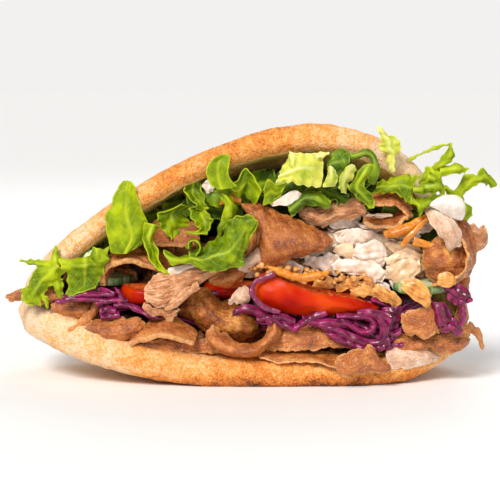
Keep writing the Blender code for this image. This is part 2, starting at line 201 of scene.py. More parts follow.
class Finish:
    def __init__(self, name, colour, roughness=0.5, **sockets):
        self.material = bpy.data.materials.new(name)
        self.material.use_nodes = True
        self.tree = self.material.node_tree
        self.shader = self.tree.nodes["Principled BSDF"]
        self.shader.inputs["Base Color"].default_value = (*colour, 1)
        self.shader.inputs["Roughness"].default_value = roughness
        for socket, value in sockets.items():
            self.shader.inputs[socket.replace("_", " ")].default_value = value
        self.place = self.add("ShaderNodeTexCoord")

    def add(self, kind, **settings):
        node = self.tree.nodes.new(kind)
        for setting, value in settings.items():
            setattr(node, setting, value)
        return node

    def feed(self, socket, value):
        """Links an output to a socket, or sets the socket to a plain number or colour."""
        if isinstance(value, bpy.types.NodeSocket):
            self.tree.links.new(value, socket)
        elif isinstance(value, tuple) and len(value) == 3 and socket.type == "RGBA":
            socket.default_value = (*value, 1)
        else:
            socket.default_value = value

    def stretched(self, *stretch):
        mapping = self.add("ShaderNodeMapping")
        self.feed(mapping.inputs["Vector"], self.place.outputs["Object"])
        mapping.inputs["Scale"].default_value = stretch
        return mapping.outputs["Vector"]

    def noise(self, size, detail=3.0, rough=0.55, where=None):
        """Cloudy noise whose lumps are about size millimetres."""
        node = self.add("ShaderNodeTexNoise")
        self.feed(node.inputs["Vector"], where or self.place.outputs["Object"])
        node.inputs["Scale"].default_value = 1 / (size * MM)
        node.inputs["Detail"].default_value = detail
        node.inputs["Roughness"].default_value = rough
        return node.outputs["Fac"]

    def fibres(self, scale, detail):
        """Noise on the fibre map that every slice and shred carries."""
        node = self.add("ShaderNodeTexNoise")
        self.feed(node.inputs["Vector"], self.add("ShaderNodeUVMap", uv_map="fibres").outputs["UV"])
        node.inputs["Scale"].default_value = scale
        node.inputs["Detail"].default_value = detail
        return node.outputs["Fac"]

    def cells(self, size, feature="F1", smooth=None):
        node = self.add("ShaderNodeTexVoronoi", feature="SMOOTH_F1" if smooth else feature)
        self.feed(node.inputs["Vector"], self.place.outputs["Object"])
        node.inputs["Scale"].default_value = 1 / (size * MM)
        if smooth:
            node.inputs["Smoothness"].default_value = smooth
        return node.outputs["Distance"]

    def attribute(self, name):
        return self.add("ShaderNodeAttribute", attribute_name=name).outputs["Fac"]

    def maths(self, operation, first, second=0.5):
        node = self.add("ShaderNodeMath", operation=operation)
        self.feed(node.inputs[0], first)
        self.feed(node.inputs[1], second)
        return node.outputs[0]

    def sum(self, first, *others):
        for other in others:
            first = self.maths("ADD", first, other)
        return first

    def times(self, first, second):
        return self.maths("MULTIPLY", first, second)

    def span(self, value, low, high, to_low=0.0, to_high=1.0):
        """Brings a value from low..high to to_low..to_high, and holds it there."""
        node = self.add("ShaderNodeMapRange", interpolation_type="SMOOTHSTEP")
        names = ("Value", "From Min", "From Max", "To Min", "To Max")
        for name, number in zip(names, (value, low, high, to_low, to_high)):
            self.feed(node.inputs[name], number)
        return node.outputs["Result"]

    def blend(self, share, first, second):
        node = self.add("ShaderNodeMix", data_type="RGBA")
        self.feed(node.inputs[0], share)
        self.feed(node.inputs[6], first)
        self.feed(node.inputs[7], second)
        return node.outputs[2]

    def ramp(self, value, *stops):
        node = self.add("ShaderNodeValToRGB")
        elements = node.color_ramp.elements
        while len(elements) < len(stops):
            elements.new(0.5)
        for element, (position, colour) in zip(elements, stops):
            element.position = position
            element.color = (*colour, 1)
        self.feed(node.inputs["Fac"], value)
        return node.outputs["Color"]

    def bump(self, height, depth, below=None):
        """Relief in the shading alone: depth is its height in millimetres."""
        node = self.add("ShaderNodeBump")
        node.inputs["Strength"].default_value = 1.0
        node.inputs["Distance"].default_value = depth * MM
        self.feed(node.inputs["Height"], height)
        if below is not None:
            self.feed(node.inputs["Normal"], below)
        return node.outputs["Normal"]

    def paint(self, **sockets):
        for socket, value in sockets.items():
            self.feed(self.shader.inputs[socket.replace("_", " ")], value)
        return self.material


print("finish tool ready")

# %% [markdown]
# ## The bread
# One flatbread, about 21 cm across, baked on a hot plate: a pale, floury crust with toasted golden
# patches, darker where it touched the plate. It is slit along the front and still joined at its back and
# both ends. It starts as a cube with thousands of faces, which are moved into the C-shaped section of
# the bread. One closed skin is right here, because crust and crumb are one piece and the slit shows both.

# %% The bread's section
BREAD_HALF_WIDTH = 105 * MM
BREAD_DEPTH = 98 * MM
BREAD_END_DEPTH = 18 * MM
BREAD_BACK_Y = 46 * MM
BREAD_BACK_SWEEP = 34 * MM
BREAD_SINK = 1.5 * MM
FOLD_Z = 26 * MM
FOLD_LIFT_LEFT = 8 * MM
LIFT_LEFT = 24 * MM
LIFT_RIGHT = 16 * MM
END_TOP_Z = 32 * MM
MOUTH_HEIGHT = 82 * MM
MOUTH_LEAN = 0.41
MOUTH_SET_BACK = 8 * MM
LOW_CRUST = 11.5 * MM
TOP_CRUST = 12.5 * MM
END_CRUST_GAIN = 8 * MM
LEFT_LIP = 6 * MM
MIDDLE_LIP = 3 * MM
MIDDLE_LIP_AT, MIDDLE_LIP_REACH = -0.15, 0.6
RIM_BULGE = 4 * MM
END_TAPER = 0.3
LOW_SQUARENESS = 4.0
TOP_SQUARENESS = 1.75
RIM_START = 0.9


class Station:
    """The bread's section at one place across its width; across runs from -1 to 1."""

    def __init__(self, across):
        leftness = across * across if across < 0 else 0.0
        roundness = math.sqrt(max(0.0, 1 - across * across))
        gain = END_CRUST_GAIN * across**2
        lift = LIFT_LEFT * leftness if across < 0 else LIFT_RIGHT * across**6
        self.x = across * BREAD_HALF_WIDTH
        self.depth = BREAD_END_DEPTH + (BREAD_DEPTH - BREAD_END_DEPTH) * roundness
        self.rim_y = BREAD_BACK_Y - BREAD_BACK_SWEEP * across**2 - self.depth
        self.set_back = MOUTH_SET_BACK * roundness
        self.fold_z = FOLD_Z + FOLD_LIFT_LEFT * leftness
        self.drop = self.fold_z + BREAD_SINK - lift
        self.rise = END_TOP_Z + MOUTH_HEIGHT * (1 + MOUTH_LEAN * across) * roundness - self.fold_z
        self.low_crust = min(LOW_CRUST + gain, 0.85 * self.drop)
        self.top_crust = min(TOP_CRUST + 0.4 * gain, 0.8 * self.rise)
        self.back_crust = min(TOP_CRUST, 0.7 * self.depth)
        self.lip = LEFT_LIP * leftness * min(1.0, 3 * roundness)
        self.lip += MIDDLE_LIP * max(0.0, 1 - ((across - MIDDLE_LIP_AT) / MIDDLE_LIP_REACH) ** 2)

    def point(self, turn, inward):
        """turn runs from -1, the bottom rim, round the fold to 1, the top rim."""
        angle = turn * math.pi / 2
        upper = turn > 0
        power = 2 / (TOP_SQUARENESS if upper else LOW_SQUARENESS)
        set_back = self.set_back * max(0.0, turn)
        deep = self.depth - set_back - self.back_crust * inward
        high = (self.rise - self.top_crust * inward) if upper else (self.drop - self.low_crust * inward)
        y = self.rim_y + set_back + deep * max(0.0, math.cos(angle)) ** power
        z = self.fold_z + math.copysign(high * abs(math.sin(angle)) ** power, turn)
        if not upper:
            z += self.lip * inward * turn**4
        return y, z


STATIONS = {}


def bread_point(s, t, w):
    """s runs across the bread, t round its section, w from the inner face (-1) to the crust (1)."""
    if s not in STATIONS:
        STATIONS[s] = Station(0.995 * math.sin(s * math.pi / 2))
    station = STATIONS[s]
    y, z = station.point(t, (1 - w) / 2)
    nose = max(0.0, (abs(t) - RIM_START) / (1 - RIM_START)) ** 3
    end = max(0.0, (abs(s) - RIM_START) / (1 - RIM_START)) ** 3
    rounding = RIM_BULGE * (1 - w * w)
    y -= rounding * nose
    x = station.x + math.copysign(0.7 * rounding * end, s)
    y += END_TAPER * end * (station.rim_y + station.depth / 2 - y)
    z += END_TAPER * end * (station.fold_z - z)
    return x, y, z



# %% Cutting a cube into fine cells, then bending it into the bread


def cut_along(axis, *cuts):
    """Subdivides the edges that run along one axis of the cube, once for each number of cuts."""
    for number in cuts:
        select_where("EDGE", lambda edge: abs(edge.verts[0].co[axis] - edge.verts[1].co[axis]) > 1e-6)
        bpy.ops.mesh.subdivide(number_cuts=number)


drop_selection()
bpy.ops.mesh.primitive_cube_add(size=2)
bread = bpy.context.object
bread.name = "flatbread"
bpy.ops.object.mode_set(mode="EDIT")
cut_along(0, 13, 13)
cut_along(1, 11, 11)
cut_along(2, 11)
bpy.ops.object.mode_set(mode="OBJECT")
cube_places = places_of(bread)
# Cells are set closer together towards the rims, which face the eye.
cube_places[:, 1] = np.sign(cube_places[:, 1]) * (1 - (1 - np.abs(cube_places[:, 1])) ** 1.35)
cube_places = cube_places.round(6)
move_to(bread, np.array([bread_point(*place) for place in cube_places]))
print("bread cells:", len(bread.data.polygons))

# %% [markdown]
# The rims of a real slit are soft, and the crust swells and dips. So the two rims are smoothed, and soft
# lumps are pressed in at three sizes. Last, whatever sank below the table is pressed flat.

# %% Softening the bread
pick(bread)
bpy.ops.object.mode_set(mode="EDIT")
bpy.ops.mesh.select_all(action="SELECT")
bpy.ops.mesh.normals_make_consistent(inside=False)
bpy.ops.object.mode_set(mode="OBJECT")
rim_group = bread.vertex_groups.new(name="rims")
rims = np.where((np.abs(cube_places[:, 1]) > 0.93) | (np.abs(cube_places[:, 0]) > 0.95))[0]
rim_group.add([int(i) for i in rims], 1.0, "REPLACE")
finish_modifier(bread, "soften", "SMOOTH", factor=0.6, iterations=9, vertex_group="rims")
for grain_size, height in ((26, 2.2), (7, 0.9), (2.2, 0.45)):
    press(bread, grain_size, height)
shape = places_of(bread)
shape[:, 2] = np.maximum(shape[:, 2], 0.0)
move_to(bread, shape)

# %% [markdown]
# Toasting is painted onto the mesh as a vertex attribute, the way one would with a brush: pale at both
# ends, golden in the middle, brown where the bread touched the plate. The shader breaks it into grain.

# %% Painting the toasting
HEEL_HEIGHT, HEEL_TOAST, FOLD_TOAST = 7 * MM, 0.42, 0.10
across, turn, outward = cube_places.T
crustiness = np.clip((outward + 1.0) / 0.12, 0, 1)
crustiness = np.maximum(crustiness, np.clip((-turn - 0.84) / 0.08, 0, 1))
top_toast = np.interp(
    across, (-1, -0.75, -0.45, -0.2, 0.15, 0.55, 0.8, 1), (0.05, 0.02, 0.26, 0.56, 0.54, -0.02, -0.06, 0.05),
)
low_toast = np.interp(
    across, (-1, -0.7, -0.4, -0.1, 0.3, 0.6, 0.8, 1), (0.05, 0.10, 0.26, 0.46, 0.50, 0.36, 0.20, 0.5),
)
upper_share = np.clip(turn / 0.5 + 0.5, 0, 1)
toast = (upper_share * top_toast + (1 - upper_share) * low_toast) * crustiness
# Painted shade: the inner face of the lower half, under the filling, is marked to be darkened.
soaked = (1 - crustiness) * np.clip(-4 * turn, 0, 1)
heel = np.clip(1 - shape[:, 2] / HEEL_HEIGHT, 0, 1)
rim_fold = (crustiness > 0) * np.clip(0.3 - np.abs(turn), 0, 0.3)
toast = toast + HEEL_TOAST * heel * crustiness + FOLD_TOAST * rim_fold
note(bread, toast=toast, crust=crustiness, soaked=soaked)

# %% The bread's finish
crust = Finish(
    "toasted_bread", (0.9, 0.6, 0.3), roughness=0.8, Specular_IOR_Level=0.25, Subsurface_Weight=0.08,
    Subsurface_Radius=(0.006, 0.003, 0.001),
)
patches = crust.noise(14, detail=4, rough=0.6)
speckle = crust.noise(2.2, detail=4, rough=0.7)
grain = crust.noise(0.9, detail=2, rough=0.6)
toasting = crust.sum(
    crust.attribute("toast"), crust.span(patches, 0.3, 0.7, -0.16, 0.16), crust.span(speckle, 0.3, 0.7, -0.14, 0.16),
    crust.span(grain, 0.3, 0.7, -0.15, 0.15),
)
crust_colour = crust.ramp(
    toasting,
    (0.00, (0.87, 0.66, 0.44)), (0.20, (0.88, 0.54, 0.27)), (0.42, (0.86, 0.37, 0.085)),
    (0.66, (0.72, 0.22, 0.035)), (0.90, (0.38, 0.10, 0.02)), (1.00, (0.14, 0.04, 0.012)),
)
holes = crust.cells(2.6, smooth=0.4)
# Painted shade in the pores: the crumb is darker towards the middle of each hole, where the bump dips.
crumb_tone = crust.sum(crust.times(holes, 0.5), crust.times(patches, 0.7))
crumb_colour = crust.ramp(
    crumb_tone, (0.25, (0.46, 0.26, 0.03)), (0.5, (0.68, 0.43, 0.07)), (0.8, (0.82, 0.58, 0.20)),
)
# Painted shade: the crumb of the lower half's inner face is darkened to deep brown under the filling.
crumb_colour = crust.blend(crust.attribute("soaked"), crumb_colour, (0.20, 0.075, 0.02))
bread_colour = crust.blend(crust.span(crust.attribute("crust"), 0.25, 0.6), crumb_colour, crust_colour)
floury = crust.span(crust.noise(1.1, detail=3, rough=0.7), 0.60, 0.72, 0.0, 0.5)
bread_colour = crust.blend(crust.times(floury, crust.attribute("crust")), bread_colour, (0.97, 0.86, 0.68))
relief = crust.bump(grain, 0.9, crust.bump(speckle, 0.9, crust.bump(holes, 0.25)))
crust.paint(Base_Color=bread_colour, Roughness=crust.span(speckle, 0.3, 0.7, 0.7, 0.9), Normal=relief)
serve(bread, crust.material, "bread", "bread")
print("bread spans (mm):", [round(size * 1000, 1) for size in bread.dimensions])

# %% [markdown]
# ## One tool for everything thin
# Shaved meat, leaves and shreds are all sheets: a middle line that bends, a width that changes along it,
# and edges that tear, scallop or curl. Each starts as a grid. Its points are moved as a sculptor would
# move them, and then modifiers give it a thickness and soften it. One tool keeps them alike in kind, and
# its settings make each one its own.

# %% Lines that wander


def wander(along, step, rng):
    """A smooth random line through the numbers in along: -1 to 1, with a new value about every step."""
    start = along.min()
    knots = np.array([rng.uniform(-1, 1) for _ in range(int((along.max() - start) / step) + 3)])
    place = (along - start) / step
    index = place.astype(int)
    share = place - index
    share = share * share * (3 - 2 * share)
    return knots[index] * (1 - share) + knots[index + 1] * share


def middle_line(length, bends, shares):
    """Points and headings along a sheet's middle line, which turns by bends (degrees) over equal stretches."""
    steps = 240
    centres = (np.arange(steps) + 0.5) / steps
    rate = np.array([bends[min(len(bends) - 1, int(centre * len(bends)))] for centre in centres]) * len(bends) / steps
    heading = np.concatenate([[0.0], np.cumsum(rate)]) - sum(bends) / 2
    half_way = np.radians((heading[:-1] + heading[1:]) / 2)
    x = np.concatenate([[0.0], np.cumsum(np.cos(half_way))]) * length / steps
    z = np.concatenate([[0.0], np.cumsum(np.sin(half_way))]) * length / steps
    stations = np.linspace(0, 1, steps + 1)
    x, z, heading = (np.interp(shares, stations, values) for values in (x, z, heading))
    return x, z, np.radians(heading)


def tear_line(along, step, rng, rips=2):
    """A torn edge: wandering at three sizes, with a few narrow rips that cut in."""
    line = wander(along, 2.8 * step, rng) + 0.55 * wander(along, step, rng) + 0.3 * wander(along, step / 2.6, rng)
    for _ in range(rips):
        place, width = rng.uniform(along.min(), along.max()), rng.uniform(0.5, 1.2)
        line = line - rng.uniform(0.8, 2.2) * np.exp(-(((along - place) / width) ** 2))
    return line


def swell(x, y, size, rng):
    """A soft uneven surface over x and y, about -1 to 1, whose waves are around size long."""
    total = np.zeros(len(x))
    for _ in range(5):
        angle, length, phase = rng.uniform(0, math.pi), size * rng.uniform(0.7, 1.5), rng.uniform(0, 2 * math.pi)
        total += np.sin(2 * math.pi * (x * math.cos(angle) + y * math.sin(angle)) / length + phase)
    return total / 2.6


def lobe_line(share, count, shift):
    """1 at the top of each lobe along an edge and 0 in the notches between them."""
    return np.sin(np.pi * ((share * count + shift) % 1)) ** 0.6


# %% The sheet


def thicken(obj, edge_distance, rib, flat_map, thick, rim, smooth):
    """Stores where a sheet's edge and rib are and its flat map, then gives it a body that thins at the rim."""
    note(obj, edge=np.exp(-np.maximum(edge_distance, 0) / 0.8), rib=rib)
    loops = np.empty(len(obj.data.loops), dtype=int)
    obj.data.loops.foreach_get("vertex_index", loops)
    obj.data.uv_layers[0].data.foreach_set("uv", flat_map[loops].ravel())
    obj.data.update()
    thickness_group = obj.vertex_groups.new(name="thickness")
    for index, distance in enumerate(edge_distance):
        thickness_group.add([index], min(1.0, max(0.0, distance) / 2.5), "REPLACE")
    finish_modifier(
        obj, "thickness", "SOLIDIFY", thickness=thick * MM, offset=0.0, vertex_group="thickness",
        thickness_vertex_group=rim,
    )
    obj.vertex_groups.clear()
    if smooth:
        finish_modifier(obj, "soften", "SUBSURF", levels=smooth, render_levels=smooth)
    return obj


def sheet(
    name, length, width, bends=(0,), cup=0.0, widths=None, thick=2.0, cell=1.0, seed=1, torn=0.0, torn_step=3.0,
    corner=0.25, rim=0.5, wavy=0.0, wavy_size=14.0, ruffle=0.0, waves=3.0, curl=0.0, frill=0.0, frill_step=12.0,
    lobes=0.0, lobe_depth=0.0, twist=0.0, smooth=1,
):
    """A sheet along X, sizes in millimetres and angles in degrees, with a thickness and soft edges.

    widths gives the outline as shares of the width along the length. torn roughens the edges, rim is what
    is left of the thickness there, and wavy bends the whole sheet softly. lobes and lobe_depth scallop the
    edges, ruffle waves them, curl rolls both edges up, and frill rolls them up and down in turn. twist turns
    one end against the other.
    """
    rng = random.Random(seed)
    drop_selection()
    columns, rows = max(8, round(length / cell)), max(3, round(width / cell))
    bpy.ops.mesh.primitive_grid_add(x_subdivisions=columns, y_subdivisions=rows, size=2)
    obj = bpy.context.object
    obj.name = name
    s, t, _ = places_of(obj).T
    share, side = (s + 1) / 2, np.abs(t)
    upper = t > 0
    phase = rng.uniform(0, 2 * math.pi)
    x, z, heading = middle_line(length, bends, share)
    if widths is None:
        half = width / 2 * (1 - 0.25 * s**4)
    else:
        half = width / 2 * np.interp(share, np.linspace(0, 1, len(widths)), widths)
    if lobes:
        left = lobe_line(share, lobes, phase / 6.3)
        right = lobe_line(share, lobes, phase / 2.9 + 0.5)
        uneven = 1 + 0.35 * wander(share * length, length / lobes, rng)
        half = half * (1 - lobe_depth * uneven * (1 - np.where(upper, left, right)))
    half = half + torn * np.where(upper, tear_line(x, torn_step, rng), tear_line(x, torn_step, rng)) * side**4
    corner_cut = corner * np.where(upper, rng.uniform(0.4, 1.6), rng.uniform(0.4, 1.6))
    corner_cut = corner_cut * np.where(s > 0, rng.uniform(0.5, 1.5), rng.uniform(0.5, 1.5))
    x = x - np.sign(s) * np.abs(s) ** 6 * corner_cut * width / 2 * side**2.5
    x = x + np.where(s > 0, 1, -1) * torn * tear_line(t * half, torn_step, rng) * np.abs(s) ** 9
    wave = np.sin(2 * math.pi * waves * share + phase + t)
    along = share * length / frill_step
    swing = np.where(upper, np.sin(2 * math.pi * along + phase), np.sin(2 * math.pi * along + 2.3 * phase + 2))
    wandering = [wander(share * length, frill_step, rng) for _ in range(2)]
    swing = swing + 0.5 * np.where(upper, *wandering)
    reach, out = np.zeros(len(s)), np.zeros(len(s))
    steps = 14
    for step in range(steps):
        here = side * (step + 0.5) / steps
        angle = np.radians(curl * here + frill * here**1.6 * swing)
        reach += t * half / steps * np.cos(angle)
        out += side * half / steps * np.sin(angle)
    out = out + cup * (t * t - 0.35) + ruffle * side**1.5 * wave
    out = out + wavy * swell(share * length, t * half, wavy_size, rng)
    turned = np.radians(twist * (share - 0.5))
    reach, out = reach * np.cos(turned) - out * np.sin(turned), reach * np.sin(turned) + out * np.cos(turned)
    points = np.stack([x - out * np.sin(heading), reach, z + out * np.cos(heading)], axis=1) * MM
    points += np.array([rng.uniform(0, 200), rng.uniform(0, 200), 0]) * MM
    move_to(obj, points)
    edge_distance = np.minimum((1 - side) * half, (1 - np.abs(s)) * length / 2)
    rib = np.exp(-((side * half / 0.9) ** 2)) * np.clip(1.15 - share, 0, 1)
    flat_map = np.stack([share * length / 10 + rng.uniform(0, 9), t * half / 10], axis=1)
    return thicken(obj, edge_distance, rib, flat_map, thick, rim, smooth)


print("sheet tool ready")

# %% [markdown]
# Some pieces fold and twist in ways that no bend angle describes. Those are laid one by one: a coarse net of
# points, told from the middle of the piece's solid, is pulled into the shape one sees, and a fine grid is
# drawn smoothly through it. Each row of a net crosses the piece: right, up and back of its first point, in
# millimetres, then of the next one, from edge to edge. The rows follow one another along the piece.

# %% Laying a sheet through a net of points
SEED_STEP = 50


def weights(places, count):
    """For places along a row of count points: the first of the four points that matter, and their shares."""
    index = np.clip(places.astype(int), 0, count - 2)
    f = places - index
    first, second = -f**3 / 2 + f**2 - f / 2, 1.5 * f**3 - 2.5 * f**2 + 1
    return index, (first, second, -1.5 * f**3 + 2 * f**2 + f / 2, f**3 / 2 - f**2 / 2)


def through(net, u, v):
    """Points of the smooth surface through a net: u runs along its stations, v across them."""
    wide = np.concatenate([2 * net[:1] - net[1:2], net, 2 * net[-1:] - net[-2:-1]])
    wide = np.concatenate([2 * wide[:, :1] - wide[:, 1:2], wide, 2 * wide[:, -1:] - wide[:, -2:-1]], axis=1)
    (first_u, shares_u), (first_v, shares_v) = weights(u, net.shape[0]), weights(v, net.shape[1])
    points = np.zeros((len(u), 3))
    for i in range(4):
        for j in range(4):
            points += (shares_u[i] * shares_v[j])[:, None] * wide[first_u + i, first_v + j]
    return points


def unit(vectors):
    return vectors / np.maximum(np.linalg.norm(vectors, axis=1, keepdims=True), 1e-9)


def laid(
    name, middle, net, thick=2.0, cell=0.9, seed=1, torn=0.4, torn_step=3.0, rips=2, rim=0.5, wavy=0.4, wavy_size=9.0,
    frill=0.0, frill_step=7.0, teeth=0.0, tooth_step=4.0,
):
    """A sheet through a net of points around a middle.

    torn, teeth and frill work on the edges, wavy on the whole sheet, as they do in the sheet tool.
    """
    rng = random.Random(seed)
    net = np.array(net, dtype=float).reshape(len(net), -1, 3)
    stations, across = net.shape[:2]
    lengths = np.linalg.norm(np.diff(net, axis=0), axis=2).sum(axis=0)
    widths = np.linalg.norm(np.diff(net, axis=1), axis=2).sum(axis=1)
    length, width = lengths.max(), widths.max()
    drop_selection()
    columns, rows = max(8, round(length / cell)), max(4, round(width / cell))
    bpy.ops.mesh.primitive_grid_add(x_subdivisions=columns, y_subdivisions=rows, size=2)
    obj = bpy.context.object
    obj.name = name
    s, t, _ = places_of(obj).T
    u, v = (s + 1) / 2 * (stations - 1), (t + 1) / 2 * (across - 1)
    points = through(net, u, v)
    along = through(net, u + 0.02, v) - through(net, u - 0.02, v)
    over = through(net, u, v + 0.02) - through(net, u, v - 0.02)
    speed_u, speed_v = np.linalg.norm(along, axis=1) / 0.04, np.linalg.norm(over, axis=1) / 0.04
    along, over = unit(along), unit(over)
    normal = unit(np.cross(along, over))
    x, y = (s + 1) / 2 * length, t / 2 * width
    side, end, upper = np.abs(t), np.abs(s), t > 0
    tears = [tear_line(x, torn_step, rng, rips) for _ in range(2)]
    tear = np.where(upper, *tears) * torn * side**4
    saw = np.abs((x / tooth_step + 0.4 * wander(x, 2 * tooth_step, rng) + np.where(upper, 0.3, 0.8)) % 1 - 0.5) * 2
    tear = tear + teeth * (saw**1.6 - 0.4) * side**5 * (1 - end**6)
    points += over * (np.sign(t) * tear)[:, None]
    points += along * (np.sign(s) * torn * tear_line(y, torn_step, rng, 0) * end**9)[:, None]
    phase = rng.uniform(0, 2 * math.pi)
    place = 2 * math.pi * x / frill_step + np.where(upper, phase, 2.3 * phase + 2)
    place = place + 1.2 * wander(x, frill_step, rng)
    points += normal * (frill * np.sin(place) * side**2 + wavy * swell(x, y, wavy_size, rng))[:, None]
    points += over * (0.5 * frill * np.cos(place) * side**3 * np.sign(t))[:, None]
    points = points * MM @ np.array([[1, 0, 0], [0, 0, 1], [0, 1, 0]]) + np.array(middle)
    move_to(obj, points)
    to_side, to_end = np.minimum(v, across - 1 - v) * speed_v, np.minimum(u, stations - 1 - u) * speed_u
    rib = np.exp(-((y / 0.9) ** 2)) * np.clip(1.15 - (s + 1) / 2, 0, 1)
    flat_map = np.stack([x / 10 + rng.uniform(0, 9), y / 10], axis=1)
    return thicken(obj, np.minimum(to_side, to_end), rib, flat_map, thick, rim, smooth=1)


def all_laid(name, node, nets, shape, work=None):
    """Lays each net around the middle of a solid, works on it, and joins the sheets."""
    pieces = []
    for index, net in enumerate(nets):
        obj = laid(name, middle_of(node), net, **{**shape, "seed": shape["seed"] + SEED_STEP * index})
        if work:
            work(obj)
        pieces.append(obj)
    return joined(name, pieces)


print("net tool ready")

# %% [markdown]
# ## Shaved meat
# Meat is cut from the spit in thin slices with a long knife. Each slice has a browned outside and a paler
# cut face with short fibres, its edges tear into crumbs, and it curls as it cools. The relief is pressed
# in at three sizes: slow waves, pebbly grain and stretched fibres. The fibre map is the sheet's own flat
# map squeezed along its length, so the fibres follow every curl.

# %% The meat's finish


def meat_finish(name, dark, middle, light, rim, gloss, streaks=0.18):
    finish = Finish(
        name, middle, roughness=0.45, Specular_IOR_Level=0.7, Subsurface_Weight=0.05,
        Subsurface_Radius=(0.004, 0.0015, 0.0008),
    )
    fibres = finish.fibres(11, 4)
    patches = finish.noise(7, detail=4, rough=0.6)
    pebbles = finish.noise(1.3, detail=3, rough=0.65)
    # The relief term is painted shade and light: pressed hollows are darkened and ridges lightened.
    tone = finish.sum(
        finish.span(patches, 0.28, 0.72, 0.10, 0.56),
        finish.span(fibres, 0.3, 0.7, 0.09 - streaks / 2, 0.09 + streaks / 2),
        finish.span(pebbles, 0.3, 0.7, 0.0, 0.14), finish.span(finish.attribute("relief"), 0.1, 0.9, -0.14, 0.14),
    )
    colour = finish.ramp(tone, (0.12, dark), (0.48, middle), (0.85, light))
    edge = finish.times(finish.attribute("edge"), finish.span(pebbles, 0.25, 0.7, 0.35, 1.0))
    colour = finish.blend(edge, colour, rim)
    char = finish.span(finish.noise(3.2, detail=5, rough=0.75), 0.65, 0.72, 0.0, 0.6)
    colour = finish.blend(char, colour, (0.045, 0.018, 0.008))
    fat = finish.span(finish.noise(1.9, detail=2, rough=0.5), 0.68, 0.74, 0.0, 0.5)
    colour = finish.blend(fat, colour, (0.80, 0.55, 0.34))
    pits = finish.cells(0.9, smooth=0.3)
    granules = finish.noise(0.55, detail=2, rough=0.6)
    normal = finish.bump(pebbles, 0.7, finish.bump(fibres, 0.5, finish.bump(pits, 0.2, finish.bump(granules, 0.35))))
    shine = finish.span(finish.noise(1.6, detail=3), 0.4, 0.6, gloss, gloss + 0.34)
    return finish.paint(Base_Color=colour, Roughness=shine, Normal=normal)


meat = meat_finish(
    "shaved_meat", (0.20, 0.043, 0.006), (0.48, 0.132, 0.020), (0.70, 0.27, 0.06), (0.82, 0.42, 0.15), 0.20,
)
dark_meat = meat_finish(
    "browned_meat", (0.15, 0.030, 0.004), (0.40, 0.100, 0.014), (0.62, 0.22, 0.04), (0.82, 0.40, 0.12), 0.15,
)
pale_meat = meat_finish(
    "pale_meat", (0.50, 0.24, 0.13), (0.76, 0.48, 0.32), (0.90, 0.70, 0.54), (0.92, 0.74, 0.58), 0.26,
)
light_meat = meat_finish(
    "light_meat", (0.28, 0.085, 0.020), (0.56, 0.21, 0.07), (0.82, 0.48, 0.26), (0.88, 0.56, 0.32), 0.20, 0.42,
)
roast = meat_finish(
    "roast_meat", (0.10, 0.020, 0.002), (0.46, 0.12, 0.012), (0.80, 0.36, 0.07), (0.84, 0.42, 0.10), 0.20,
)

# %% One slice


def note_relief(obj, before, depth):
    """Stores how far the pressing moved each point in or out, so that painted shade can darken the hollows and
    painted light brighten the ridges.
    """
    normals = np.empty(len(obj.data.vertices) * 3)
    obj.data.vertices.foreach_get("normal", normals)
    moved = ((places_of(obj) - before) * normals.reshape(-1, 3)).sum(axis=1)
    note(obj, relief=np.clip(moved / (depth * MM) * 0.5 + 0.5, 0, 1))


def map_fibres(obj, turn):
    """A second flat map, turned and squeezed along one direction, for relief that runs in fibres."""
    flat = np.empty(len(obj.data.uv_layers[0].data) * 2)
    obj.data.uv_layers[0].data.foreach_get("uv", flat)
    flat = flat.reshape(-1, 2)
    c, s = math.cos(math.radians(turn)), math.sin(math.radians(turn))
    along, across = flat[:, 0] * c + flat[:, 1] * s, flat[:, 1] * c - flat[:, 0] * s
    obj.data.uv_layers.new(name="fibres").data.foreach_set("uv", np.stack([along * 0.16, across], axis=1).ravel())


def press_meat(obj, lumps, fibres, reach, fibre_turn=0.0):
    """Presses lumps, then fibres, each (grain, depth), into a slice, and notes how far its points moved."""
    map_fibres(obj, fibre_turn)
    before = places_of(obj)
    for grain, depth in lumps:
        press(obj, grain, depth)
    obj.data.uv_layers["fibres"].active = True
    press(obj, *fibres, coords="UV")
    note_relief(obj, before, reach)


def carve(name, length, width, seed, **shape):
    """A slice of meat, not yet set down."""
    shape = {"thick": 2.3, "torn": 0.6, "torn_step": 3.0, "cell": 0.85, "wavy": 0.9, "rim": 0.55, **shape}
    obj = sheet(name, length, width, seed=seed, **shape)
    press_meat(obj, ((2.4, 0.6),), (0.13, 0.5), 0.45)
    return obj


# %% One slice, laid through a given net


def hand_slice(node, *nets, finish=meat, fibre_turn=0.0, name=None, grit=1.0, **shape):
    """A slice of meat laid around the middle of its solid; one with a name of its own is an extra piece."""
    shape = {"thick": 2.0, "torn": 0.8, "torn_step": 1.8, "cell": 0.6, "wavy": 0.5, "rim": 0.35, **shape}

    def work(obj):
        press_meat(obj, ((5.5, 0.9 * grit), (1.5, 0.45 * grit)), (0.12, 0.3), 0.5, fibre_turn)

    obj = all_laid(name or node.replace("meat_", "slice_"), node, nets, shape, work)
    return serve(obj, finish, "meat", *([] if name else [node]))


